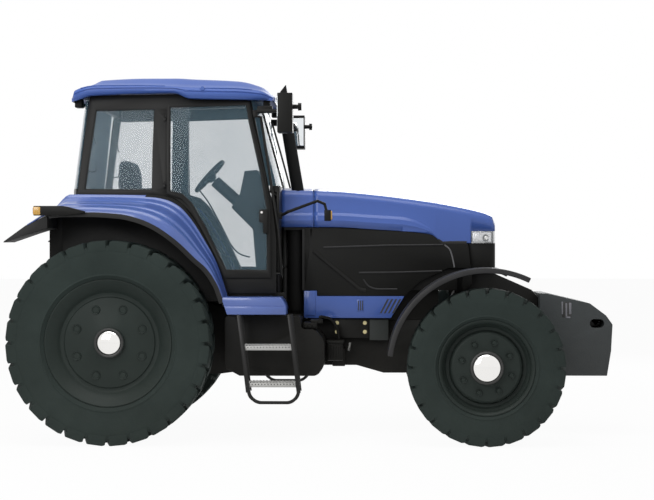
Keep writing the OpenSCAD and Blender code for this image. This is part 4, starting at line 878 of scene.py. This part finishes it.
# Black lining on the fender's inner edge, behind the door's glass, and the end of the wheel house's wall
LINING_LIFT = 0.005
bm = bmesh.new()
rings = []
for share in round_it[28:]:
    lifted = [(y, inward(x, z, -LINING_LIFT)) for x, y, z in fender_ring(share)[:4]]
    rings.append([(x, y, z) for y, (x, z) in lifted])
lofted(bm, rings)
facing_out(bm, Vector((0, 0, 1)))
bmesh.ops.solidify(bm, geom=bm.faces, thickness=0.003)
plate(bm, ((-2.402, 1.60), (-2.402, 2.028), (-2.36, 2.062), (-2.28, 2.12), (-2.28, 1.55)),
      FENDER_IN - 0.012, FENDER_IN, 0.003)
boxed(bm, (-0.82, FENDER_IN + 0.01, 1.280), (-0.27, FENDER_IN + 0.06, 1.330))
both_sides(bm)
piece("fender_linings", bm, black_plastic, "chassis", sharp=40)


EDGING_WIDTH, EDGING_STAND = 0.038, 0.006


def strip_ring(share):
    """Rubber edging round the fender's lip."""
    (x1, z1), lip = fender_point(share)[1:]
    (xa, za), (xb, zb) = inward(x1, z1, -0.004), inward(x1, z1, EDGING_WIDTH)
    xm, zm = inward(x1, z1, EDGING_WIDTH / 2)
    out, back = lip + EDGING_STAND, lip - 0.016
    return [(xb, back, zb), (xb, out - 0.004, zb), (xm, out, zm), (xa, out - 0.003, za), (xa, back, za)]


rubber = finish("black_rubber", (0.012, 0.012, 0.012), 0.62, gloss=0.3, Grain_Scale=220, Grain_Depth=0.0003,
                Dust=0.12)
bm = bmesh.new()
lofted(bm, [strip_ring(0.09 + 0.91 * s) for s in round_it], closed=True)
bmesh.ops.holes_fill(bm, edges=[e for e in bm.edges if len(e.link_faces) == 1])
FLAP = ((-2.500, 1.928), (-2.322, 2.018), (-2.322, 1.905), (-2.466, 1.861), (-2.707, 1.778), (-2.705, 1.788),
        (-2.506, 1.932))
plate(bm, FLAP, FENDER_IN + 0.06, FENDER_LIP, 0.004)
both_sides(bm)
bmesh.ops.recalc_face_normals(bm, faces=bm.faces)
piece("fender_edging", bm, rubber, "chassis", ["fender_trims"], sharp=40)


# ---------------------------------------------------------------- lower shields, seals and pipes
# Blue folded shields under the side panels, with four slanted louvres, a small vent and a raised cover. A
# rubber seal closes the hood's lower edge, and coolant pipes and a moulded end close the panels at the stack.

SHIELD_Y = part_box("lower_shields")[1].y
SHIELD_FOOT, SHIELD_TOP, COVER_TOP = 1.086, PANEL_FOOT - 0.003, 1.336
LOUVRE_X, LOUVRE_PITCH = 0.574, 0.037

bm = bmesh.new()
plate(bm, (
    (PANEL_X0, SHIELD_FOOT), (PANEL_X0, COVER_TOP), (0, COVER_TOP), (0, SHIELD_TOP), (0.800, SHIELD_TOP),
    (0.676, SHIELD_FOOT),
), SHIELD_Y - 0.020, SHIELD_Y, 0.004)
# Raised cover at the rear end, and a frame round the vent
boxed(bm, (-0.100, SHIELD_Y - 0.004, 1.110), (-0.012, SHIELD_Y + 0.010, COVER_TOP), 0.006)
boxed(bm, (0.020, SHIELD_Y - 0.004, 1.098), (0.640, SHIELD_Y + 0.003, 1.106), 0.001)
boxed(bm, (0.366, SHIELD_Y - 0.004, 1.146), (0.430, SHIELD_Y + 0.005, 1.256), 0.004)
for k in range(4):
    x = LOUVRE_X + LOUVRE_PITCH * k
    plate(bm, ((x - 0.007, 1.128), (x - 0.001, 1.128), (x + 0.069, 1.262), (x + 0.063, 1.262)),
          SHIELD_Y - 0.002, SHIELD_Y + 0.006, 0.001, 1)
both_sides(bm)
piece("lower_shield_plates", bm, blue_paint, "chassis", ["lower_shields"])
# Black plates in the louvres' slots and bars across the vent: painted shade in these openings
bm = bmesh.new()
for k in range(4):
    x = LOUVRE_X + LOUVRE_PITCH * k
    plate(bm, ((x, 1.130), (x + 0.017, 1.130), (x + 0.087, 1.260), (x + 0.070, 1.260)),
          SHIELD_Y - 0.002, SHIELD_Y + 0.0012, 0)
for k in range(3):
    boxed(bm, (0.375 + 0.018 * k, SHIELD_Y, 1.156), (0.385 + 0.018 * k, SHIELD_Y + 0.0062, 1.246), 0.001, 1)
both_sides(bm)
piece("louvre_slot_shade", bm, black_and_painted_shade, "chassis")

# Seal under the hood's lower edge
bm = bmesh.new()
under = [-0.30 + 1.67 * k / 60 for k in range(61)]
swept(bm, [(x, PANEL_Y - 0.030, hood_edge(x) - 0.004) for x in under], 0.010, 0.046)
both_sides(bm)
piece("hood_seal", bm, rubber, "chassis")

# Moulded end of each panel, up to the exhaust's pipe, and the pipes that rise beside the firewall
bm = bmesh.new()
plate(bm, ((-0.136, 1.338), (-0.136, 1.905), (-0.040, 1.905), (-0.110, 1.338)),
      PANEL_Y - 0.012, PANEL_Y, 0.003)
for x, y, top in ((-0.298, 0.30, 1.915), (-0.298, 0.24, 1.87), (-0.115, 0.25, 1.90)):
    route = ((x, y, 1.19), (x, y, 1.55), (x - 0.004, y - 0.03, top - 0.10), (x - 0.004, y - 0.06, top))
    swept(bm, rounded(route, 0.08), 0.046)
    for z in (1.24, 1.52):
        swept(bm, [(x, y, z), (x, y, z + 0.016)], 0.054)
plate(bm, ((-0.292, 1.09), (-0.10, 1.09), (-0.10, 1.42), (-0.292, 1.42)), 0.200, 0.212)
both_sides(bm)
piece("engine_pipes", bm, rubber, "chassis")

# Pale strip down the side panel, behind the nose
bm = bmesh.new()
route = ((1.165, 1.756), (1.215, 1.72), (1.24, 1.64), (1.256, 1.552))
swept(bm, rounded([(x, PANEL_Y + 0.002, z) for x, z in route], 0.05), 0.008, 0.014)
both_sides(bm)
pale_strip = finish("pale_strip", (0.10, 0.10, 0.105), 0.4, Dust=0.05)
piece("nose_strips", bm, pale_strip, "chassis")


# ---------------------------------------------------------------- steps, tanks, mirrors, lamps and rails
# Two grip treads of punched zinc sheet hang between black rails over a tube loop. The tanks, mirrors and
# lamps are moulded in black plastic, and the rails are bent tube.

zinc = finish("punched_zinc", (0.42, 0.42, 0.41), 0.42, metallic=0.6, Grain_Scale=160, Grain_Depth=0.0004,
              Dust=0.3, Mottle=0.2)
step_black = finish("step_black", (0.005, 0.005, 0.005), 0.3, gloss=0.25, Grain_Scale=90, Grain_Depth=0.0001,
                    Dust=0.03)
# The loop under the treads is bent in rounds at its foot
LOOP_BENDS_Z, LOOP_BEND = 0.45, 0.035
bm = cad_copy("step_frames")
loop_bends = [
    e for e in bm.edges if abs(e.verts[1].co.y - e.verts[0].co.y) > 0.01
    and max(v.co.z for v in e.verts) < LOOP_BENDS_Z
]
bevelled(bm, loop_bends, LOOP_BEND, 5)
round_edges(bm, 0.003)
piece("step_frames_shape", bm, step_black, "chassis", ["step_frames"])

# The upper tread stands a little further back than the lower one
tread_low, tread_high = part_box("step_treads")
STEP_RISE, STEP_LEAN, TREAD_DEPTH, LIP_HOLES = 0.323, 0.0379, 0.178, 16
bm, holes = bmesh.new(), bmesh.new()
for low_z, shift in ((tread_low.z, 0), (tread_low.z + STEP_RISE, -STEP_LEAN)):
    x0, x1 = tread_low.x + STEP_LEAN + shift, tread_high.x + shift
    y0, y1 = tread_high.y - TREAD_DEPTH, tread_high.y
    boxed(bm, (x0, y0, low_z), (x1, y1, low_z + 0.036), 0.003)
    # A row of holes under the lip's upper rim, drawn as black discs: painted shade
    for k in range(LIP_HOLES):
        at = Vector((x0 + (k + 0.5) * (x1 - x0) / LIP_HOLES, y1 - 0.0005, low_z + 0.026))
        bmesh.ops.create_cone(holes, cap_ends=True, segments=8, radius1=0.0055, radius2=0.0055, depth=0.003,
                              matrix=Matrix.Translation(at) @ Matrix.Rotation(math.pi / 2, 4, "X"))
    # Teeth punched up along the tread, in rows
    for row in range(5):
        for k in range(15):
            x = x0 + (k + 0.5 + 0.5 * (row % 2)) * (x1 - x0) / 15.5
            at = Vector((x, y0 + 0.018 + row * 0.035, low_z + 0.042))
            bmesh.ops.create_cone(bm, cap_ends=True, segments=6, radius1=0.010, radius2=0.006, depth=0.014,
                                  matrix=Matrix.Translation(at))
for name, mesh, material in (("grip_treads", bm, zinc), ("lip_hole_shade", holes, black_and_painted_shade)):
    both_sides(mesh)
    piece(name, mesh, material, "chassis", ["step_treads"] if mesh is bm else [])

softened("fuel_tanks", 0.004, black_plastic, "chassis",
         along=Vector((0, 1, 0)), corner=0.035)
exhaust_black = finish("exhaust_black", (0.004, 0.004, 0.004), 0.8, gloss=0.2, Grain_Scale=90,
                       Grain_Depth=0.0006, Dust=0.06)
softened("exhaust", 0.003, exhaust_black, "chassis")

# Mirrors: rounded housings with the glass to the rear, and their arms
softened("mirrors", 0.012, black_plastic, "chassis", segments=3)
softened("signal_lamps", 0.005, black_plastic, "chassis")
softened("handrails", 0.002, black_paint, "chassis")
softened("work_lamps", 0.008, black_plastic, "chassis")
softened("rear_lamps", 0.008, black_plastic, "chassis")


def lamp_block(low, high, width):
    """Rounded block on both sides of the tractor, as a mesh of its own."""
    bm = bmesh.new()
    boxed(bm, low, high, width)
    both_sides(bm)
    return bm


# Amber and red lenses of the rear lamps, amber strips of the signal lamps, and the mirrors' glass
amber_lens = finish("amber_lens", (0.60, 0.33, 0.05), 0.18, coat=0.5, Grain_Scale=260, Grain_Depth=0.0006,
                    Dust=0.02)
red_lens = finish("red_lens", (0.32, 0.012, 0.010), 0.2, coat=0.5, Grain_Scale=260, Grain_Depth=0.0006,
                  Dust=0.02)
mirror_glass = finish("mirror_glass", (0.80, 0.83, 0.85), 0.04, metallic=1.0, Grain_Depth=0.0, Dust=0.0,
                      Mottle=0.02)
lamp_low, lamp_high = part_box("rear_lamps")
signal_low, signal_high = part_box("signal_lamps")
mirror_low, mirror_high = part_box("mirrors")
for name, low, high, width, material in (
    ("amber_lenses", (lamp_low.x - 0.001, lamp_high.y - 0.046, lamp_low.z + 0.006),
     (lamp_low.x + 0.064, lamp_high.y + 0.0015, lamp_high.z - 0.006), 0.006, amber_lens),
    ("red_lenses", (lamp_low.x - 0.004, lamp_high.y - 0.040, lamp_low.z + 0.016),
     (lamp_low.x + 0.004, lamp_high.y - 0.006, lamp_high.z - 0.016), 0.003, red_lens),
    ("signal_lenses", (signal_high.x - 0.006, signal_high.y - 0.092, signal_low.z + 0.010),
     (signal_high.x + 0.012, signal_high.y - 0.006, signal_low.z + 0.090), 0.006, amber_lens),
    ("mirror_panes", (-0.3095, mirror_high.y - 0.186, mirror_low.z + 0.016),
     (-0.3045, mirror_high.y - 0.014, mirror_high.z - 0.016), 0.002, mirror_glass),
    ("mirror_side_panes", (-0.300, mirror_high.y - 0.203, mirror_low.z + 0.030),
     (-0.188, mirror_high.y - 0.199, mirror_high.z - 0.030), 0.0015, mirror_glass),
):
    piece(name, lamp_block(low, high, width), material, "chassis")


# ---------------------------------------------------------------- ballast, headlamps and front fenders
# The ballast is one cast block with a hook recess and a lifting slot. The lamps sit in the nose's corners
# behind clear covers. The front fenders are moulded, and turn with the knuckles.

cast_weight = finish("cast_weight", (0.035, 0.041, 0.043), 0.52, gloss=0.35, Grain_Scale=70,
                     Grain_Depth=0.0012, Dust=0.1, Mottle=0.2)
softened("ballast_block", 0.024, cast_weight, "chassis", segments=4)

# Hook pocket beside the lifting slot and the web inside the slot, black as painted shade, and a pale colour
# on the hook's bars and along the upper edge as painted highlight
painted_highlight_casting = finish("painted_highlight_casting", (0.17, 0.17, 0.19), 0.42, Grain_Scale=90, Grain_Depth=0.0006, Dust=0.05,
                      Mottle=0.25)
weight_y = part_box("ballast_block")[1].y
bm, edge = bmesh.new(), bmesh.new()
boxed(bm, (2.246, weight_y - 0.004, 1.092), (2.330, weight_y + 0.001, 1.232), 0.001)
SLOT_X, SLOT_Z, SLOT_R, SLOT_HALF = 2.565, 1.035, 0.0405, 0.025
plate(bm, [
    (SLOT_X + SLOT_HALF * math.copysign(1, math.cos(a)) + SLOT_R * math.cos(a), SLOT_Z + SLOT_R * math.sin(a))
    for a in (math.tau * (k + 0.5) / 24 for k in range(24))
], 0.002, 0.014, 0)
for x0, z0, x1, z1 in ((2.240, 1.120, 2.254, 1.236), (2.276, 1.088, 2.292, 1.222),
                       (2.276, 1.084, 2.322, 1.100), (2.308, 1.120, 2.330, 1.226)):
    boxed(edge, (x0, weight_y - 0.004, z0), (x1, weight_y + 0.006, z1), 0.004)
route = ((2.06, 1.300), (2.114, 1.302), (2.30, 1.2585), (2.498, 1.210), (2.644, 1.101), (2.696, 1.026))
swept(edge, [(x, weight_y - 0.006, z) for x, z in route], 0.010, 0.012)
for name, mesh, material in (("ballast_pocket_shade", bm, black_and_painted_shade), ("ballast_hooks", edge, painted_highlight_casting)):
    both_sides(mesh)
    piece(name, mesh, material, "chassis")

# The front fenders are in the lightened plastic, their lighter colour partly painted highlight
for side in ("right", "left"):
    softened(f"knuckle_{side}", 0.005, casting, f"knuckle_{side}")
    softened(f"front_fender_{side}", 0.006, satin_plastic_painted_highlight, f"knuckle_{side}")


def clear_cover():
    """Clear plastic with faint upright flutes."""
    made = bpy.data.materials.new("clear_cover")
    made.use_nodes = True
    tree = made.node_tree
    cover = tree.nodes["Principled BSDF"].inputs
    cover["Base Color"].default_value = (0.86, 0.88, 0.9, 1)
    cover["Roughness"].default_value = 0.05
    place = node_of(tree, "ShaderNodeTexCoord").outputs["Object"]
    flutes = node_of(tree, "ShaderNodeTexWave", {"Vector": place, "Scale": 22})
    ridge = node_of(tree, "ShaderNodeMapRange",
                    {"Value": flutes.outputs["Fac"], "To Min": 0.22, "To Max": 0.34})
    tree.links.new(ridge.outputs[0], cover["Alpha"])
    return made


dress("headlamps", clear_cover())
reflector = finish("lamp_reflector", (0.80, 0.80, 0.81), 0.2, metallic=0.6, Grain_Scale=30, Grain_Depth=0.004,
                   Dust=0.0)
head_low, head_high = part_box("headlamps")
piece("lamp_bowls", lamp_block(
    (head_low.x + 0.006, 0.212, head_low.z + 0.006),
    (head_high.x - 0.035, head_high.y - 0.042, head_high.z - 0.006), 0.012,
), reflector, "hood")

# Each bulb is a bright dome in a dark ring, turned a little outwards
BULB_R, BULB_TURN = 0.0225, math.radians(-28)
bulb = Vector((head_high.x - 0.085, head_high.y - 0.040, head_low.z + 0.048))
aim = Matrix.Translation(bulb) @ Matrix.Rotation(BULB_TURN, 4, "Z")
ring, dome = bmesh.new(), bmesh.new()
spun(ring, [(BULB_R, 0), (BULB_R, 0.010), (0.030, 0.010), (0.034, 0)], 32)
arc = [math.radians(a) for a in range(0, 81, 16)]
spun(dome, [(BULB_R * math.cos(a), 0.003 + 0.012 * math.sin(a)) for a in arc] + [(0, 0.015)], 32)
for name, bm, material in (("bulb_rings", ring, black_and_painted_shade), ("bulbs", dome, bright_cap)):
    bmesh.ops.transform(bm, matrix=aim, verts=bm.verts)
    both_sides(bm)
    bmesh.ops.recalc_face_normals(bm, faces=bm.faces)
    piece(name, bm, material, "hood")


# ---------------------------------------------------------------- driver's place
# The seat is a sprung frame under two stitched cushions, with armrests. The steering wheel has a moulded
# rim on three spokes, and stands on a moulded console.

softened("console", 0.012, black_plastic, "chassis", segments=3)
softened("seat_base", 0.010, black_plastic, "chassis")


def weave():
    """Group with the small squares of a woven cloth, as a mask and a height."""
    group = bpy.data.node_groups.new("Woven", "ShaderNodeTree")
    group.interface.new_socket("Threads", in_out="INPUT", socket_type="NodeSocketFloat").default_value = 400
    for label in ("Mask", "Height"):
        group.interface.new_socket(label, in_out="OUTPUT", socket_type="NodeSocketFloat")
    given = node_of(group, "NodeGroupInput").outputs
    place = node_of(group, "ShaderNodeTexCoord").outputs["Object"]
    feeds = {"Vector": place, "Scale": given["Threads"]}
    across, along, upright = (
        node_of(group, "ShaderNodeTexWave", feeds, bands_direction=axis).outputs["Fac"]
        for axis in ("X", "Y", "Z")
    )
    mask = worked(group, "MAXIMUM", worked(group, "MULTIPLY", across, along), upright)
    node_of(group, "NodeGroupOutput", {"Mask": mask, "Height": worked(group, "MULTIPLY", mask, 0.0006)})
    return group


seat_cloth = bpy.data.materials.new("seat_cloth")
seat_cloth.use_nodes = True
tree = seat_cloth.node_tree
threads = node_of(tree, "ShaderNodeGroup", node_tree=weave()).outputs
shades = node_of(tree, "ShaderNodeMix", {
    0: threads["Mask"], 6: (0.016, 0.018, 0.021, 1), 7: (0.034, 0.037, 0.042, 1),
}, data_type="RGBA")
bump = node_of(tree, "ShaderNodeBump", {"Height": threads["Height"], "Distance": 1})
cloth_shader = tree.nodes["Principled BSDF"].inputs
cloth_shader["Roughness"].default_value = 0.95
cloth_shader["Specular IOR Level"].default_value = 0.15
cloth_shader["Sheen Weight"].default_value = 0.15
tree.links.new(shades.outputs[2], cloth_shader["Base Color"])
tree.links.new(bump.outputs[0], cloth_shader["Normal"])


def apply_modifiers(made):
    """Writes a piece's modifiers into its mesh."""
    baked = bpy.data.meshes.new_from_object(made.evaluated_get(bpy.context.evaluated_depsgraph_get()))
    made.modifiers.clear()
    made.data = baked


MOST_SWELL = 0.010
SEAM_PULL, SEAM_REACH, SEAM_DEPTH, SEAM_WIDTH = 0.004, 0.02, 0.006, 0.014


def cushion(name, outline, half_w, channel):
    """A pad cut to a side outline, blown up by a cloth simulation, with a sewn channel along each side."""
    bm = bmesh.new()
    plate(bm, outline, -half_w, half_w, 0.03, 4)
    pad = piece(name, bm, seat_cloth, "chassis")
    remesh = pad.modifiers.new("remesh", "REMESH")
    remesh.mode = "VOXEL"
    remesh.voxel_size = 0.008
    apply_modifiers(pad)
    start = [v.co.copy() for v in pad.data.vertices]
    cloth = pad.modifiers.new("cloth", "CLOTH")
    cloth.settings.use_pressure = True
    cloth.settings.uniform_pressure_force = 4
    cloth.settings.effector_weights.gravity = 0
    for count in range(1, 21):
        bpy.context.scene.frame_set(count)
    apply_modifiers(pad)
    bpy.context.scene.frame_set(1)
    for v, cut in zip(pad.data.vertices, start):
        moved = v.co - cut
        v.co = cut + moved.normalized() * min(moved.length, MOST_SWELL)
        near = max(0, 1 - abs(v.co.y - channel) / SEAM_REACH)
        v.co.y += SEAM_PULL * (channel - v.co.y) / SEAM_REACH * near
        v.co -= v.normal * SEAM_DEPTH * max(0, 1 - abs(abs(v.co.y) - channel) / SEAM_WIDTH)
    pad.data.shade_smooth()
    return pad


cushion_low, cushion_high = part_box("seat_cushions")
SEAT_TOP = 2.050
seat_pad = cushion("seat_pad", (
    (-1.755, cushion_low.z + 0.006), (-1.258, cushion_low.z + 0.006), (-1.258, SEAT_TOP - 0.020),
    (-1.30, SEAT_TOP - 0.008), (-1.50, SEAT_TOP - 0.016), (-1.66, SEAT_TOP - 0.010),
    (-1.755, SEAT_TOP - 0.006),
), cushion_high.y - 0.012, 0.15)
cushion("seat_back", (
    (-1.770, SEAT_TOP + 0.004), (-1.655, SEAT_TOP + 0.004), (-1.652, 2.12), (-1.690, 2.30), (-1.700, 2.420),
    (-1.738, 2.542), (-1.842, 2.542), (-1.852, 2.30),
), cushion_high.y - 0.016, 0.14)
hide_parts("seat_cushions")

# Steering wheel: grip with finger bumps behind it, three dished spokes, and a cap on the hub
WHEEL_CENTRE, WHEEL_LEAN = Vector((-1.025, 0, 2.401)), math.radians(48)
GRIP_CENTRE_R, GRIP_R = 0.184, 0.0155
FINGER_BUMPS, BUMP_DEPTH = 24, 0.003
bm = bmesh.new()
grip = Matrix.Translation((GRIP_CENTRE_R, 0, 0)) @ Matrix.Rotation(math.pi / 2, 4, "X")
bmesh.ops.create_circle(bm, segments=16, radius=GRIP_R, matrix=grip)
bmesh.ops.spin(bm, geom=bm.edges[:], axis=(0, 0, 1), cent=(0, 0, 0), angle=math.tau, steps=72, use_merge=True)
for v in bm.verts:
    turn = math.atan2(v.co.y, v.co.x)
    v.co.z -= BUMP_DEPTH * (1 + math.sin(turn * FINGER_BUMPS)) * (v.co.z < -0.006)
for k in range(3):
    spoke = Matrix.Rotation(math.tau * k / 3, 3, "Z")
    dished = [(r, 0, -0.004 - 0.010 * math.sin(math.pi * (r - 0.03) / 0.155))
              for r in (0.03, 0.07, 0.11, 0.15, 0.182)]
    swept(bm, [spoke @ Vector(point) for point in dished], 0.034, 0.014)
hub = bmesh.new()
spun(hub, [
    (0, 0.014), (0.030, 0.013), (0.052, 0.006), (0.058, -0.006), (0.054, -0.03), (0.034, -0.056),
    (0.016, -0.058), (0.0148, -0.128), (0, -0.128),
], 40)
bmesh.ops.rotate(hub, verts=hub.verts, cent=(0, 0, 0), matrix=Matrix.Rotation(math.pi / 2, 3, "X"))
joined(bm, hub)
bmesh.ops.recalc_face_normals(bm, faces=bm.faces)
bmesh.ops.transform(bm, verts=bm.verts,
                    matrix=Matrix.Translation(WHEEL_CENTRE) @ Matrix.Rotation(-WHEEL_LEAN, 4, "Y"))
piece("steering_wheel_rim", bm, black_plastic, "steering_wheel",
      ["steering_wheel"], sharp=50)


# ---------------------------------------------------------------- hitch, and fittings along the backbone
# Forged links and arms in the backbone's dark paint. A bolted plate, cast covers, a valve block and a
# ribbed filter box sit on the frame between the tanks and the front wheels.

softened("drawbar", 0.004, casting, "chassis")
for node in ("lower_links", "lift_arms", "lift_rods"):
    softened(node, 0.003, casting, node)

FRAME_Y = 0.330
bm, bolts, covers = bmesh.new(), bmesh.new(), bmesh.new()
boxed(bm, (0.155, FRAME_Y - 0.004, 0.902), (0.476, FRAME_Y + 0.012, 1.076), 0.004)
for x in (0.183, 0.439):
    for z in (0.957, 1.039):
        bolt_head(bolts, (x, FRAME_Y + 0.012, z), (0, 1, 0), 0.028, 0.012, 0.019)
# Filter box with ribs and a lid, and the valve block with its unions in the corner of the tank
boxed(bm, (0.095, FRAME_Y - 0.004, 0.700), (0.241, FRAME_Y + 0.130, 0.862), 0.010)
boxed(bm, (0.088, FRAME_Y - 0.004, 0.858), (0.248, FRAME_Y + 0.138, 0.884), 0.006)
for k in range(6):
    boxed(bm, (0.108 + 0.022 * k, FRAME_Y + 0.126, 0.715), (0.116 + 0.022 * k, FRAME_Y + 0.135, 0.850),
          0.002, 1)
boxed(bm, (-0.115, 0.50, 1.002), (0.010, 0.68, 1.058), 0.006)
boxed(bm, (-0.050, 0.52, 1.050), (0.060, 0.66, 1.084), 0.006)
for x, z in ((-0.092, 1.030), (-0.052, 1.030), (-0.012, 1.030), (0.034, 1.067)):
    bolt_head(bm, (x, 0.68 if x < 0 else 0.66, z), (0, 1, 0), 0.026, 0.020, 0.016)
hose = ((0.034, 0.60, 1.080), (0.034, 0.60, 1.11), (0.13, 0.50, 1.09), (0.19, 0.42, 1.00),
        (0.20, 0.40, 0.885))
swept(bm, rounded(hose, 0.06), 0.026)
# Cast cover of the block, and a coiled lead
boxed(covers, (0.480, FRAME_Y - 0.004, 0.880), (0.655, FRAME_Y + 0.010, 1.072), 0.008)
COIL_R = 0.010
coil = bmesh.new()
swept(coil, [
    (0.290 + 0.0002 * k + COIL_R * math.cos(math.tau * k / 10),
     FRAME_Y + 0.030 + COIL_R * math.sin(math.tau * k / 10), 0.786 + 0.0012 * k) for k in range(61)
], 0.004, segments=6)
bare_casting = finish("sprayed_casting", (0.030, 0.035, 0.034), 0.5, gloss=0.2, Grain_Scale=120,
                      Grain_Depth=0.0006, Dust=0.1, Mottle=0.2)
yellow_zinc = finish("yellow_zinc", (0.62, 0.55, 0.30), 0.35, metallic=0.5, Dust=0.05)
for name, mesh, material in (
    ("frame_fittings", bm, black_plastic), ("plate_bolts", bolts, yellow_zinc),
    ("cast_covers", covers, bare_casting), ("coiled_leads", coil, zinc),
):
    both_sides(mesh)
    bmesh.ops.recalc_face_normals(mesh, faces=mesh.faces)
    piece(name, mesh, material, "chassis")


# ---------------------------------------------------------------- seals, rods and small fittings of the cab
# Extruded rubber beds the panes in their frames. Bent rods make the pulls inside the doors and the grab
# loops at the back, and moulded knobs clamp the mirrors to their arms.


def seal_round(bm, node):
    """Rubber bead round the outer face of each large pane of a glass node."""
    panes = cad_copy(node)
    middle = sum((v.co for v in panes.verts), Vector()) / len(panes.verts)
    middle.y = 0
    for face in panes.faces:
        at = face.calc_center_median()
        if face.calc_area() > 0.25 and face.normal.dot(at - middle) > 0:
            around = [v.co + face.normal * 0.001 for v in face.verts]
            start = (around[-1] + around[0]) / 2
            swept(bm, [start] + around + [start], 0.012, 0.012, 8)


PANE_Y, PANE_LEAN, PANE_FOOT = 0.813, 0.0527, 1.531


def door_y(z):
    """How far out the door's glass stands at a height."""
    return PANE_Y - PANE_LEAN * (z - PANE_FOOT)


for side, out in (("right", -1), ("left", 1)):
    bm = bmesh.new()
    seal_round(bm, f"door_{side}_glass")
    route = ((-1.20, 2.290), (-1.109, 2.173), (-0.990, 1.950), (-0.891, 1.748), (-0.815, 1.660),
             (-0.704, 1.630))
    swept(bm, rounded([(x, out * (door_y(z) - 0.028), z) for x, z in route], 0.06), 0.014)
    bmesh.ops.recalc_face_normals(bm, faces=bm.faces)
    piece(f"door_{side}_seal", bm, rubber, f"door_{side}")
    bm = bmesh.new()
    place = Matrix.Translation((-0.477, out * 0.8355, 2.047))
    bmesh.ops.create_cone(bm, cap_ends=True, segments=20, radius1=0.011, radius2=0.010, depth=0.008,
                          matrix=place @ Matrix.Rotation(-out * math.pi / 2, 4, "X"))
    piece(f"door_{side}_lock", bm, bright_cap, f"door_{side}")

bm = bmesh.new()
seal_round(bm, "cab_glass")
bmesh.ops.recalc_face_normals(bm, faces=bm.faces)
piece("window_seals", bm, rubber, "chassis")

bm = bmesh.new()
loop = ((-1.985, 2.66), (-2.010, 2.760), (-2.025, 2.75), (-2.062, 2.430), (-2.030, 2.412), (-1.985, 2.420),
        (-1.980, 2.52))
swept(bm, rounded([(x, 0.655, z) for x, z in loop], 0.02), 0.012)
swept(bm, [(-0.478, 0.700, 2.950), (-0.385, 0.715, 2.620), (-0.290, 0.725, 2.270)], 0.018)
# Mirror knobs and the clamps of the mirror arms
for x0, x1, r in ((-0.180, -0.122, 0.020), (-0.134, -0.104, 0.034)):
    place = Matrix.Translation(((x0 + x1) / 2, 1.250, 2.950))
    bmesh.ops.create_cone(bm, cap_ends=True, segments=20, radius1=r, radius2=r * 0.92, depth=x1 - x0,
                          matrix=place @ Matrix.Rotation(math.pi / 2, 4, "Y"))
boxed(bm, (-0.515, 0.790, 2.930), (-0.380, 0.858, 2.992), 0.008)
# Armrests of the seat
boxed(bm, (-1.735, 0.262, 2.235), (-1.420, 0.318, 2.278), 0.018, 4)
boxed(bm, (-1.720, 0.236, 2.150), (-1.690, 0.276, 2.262), 0.006)
both_sides(bm)
piece("cab_fittings", bm, black_plastic, "chassis")
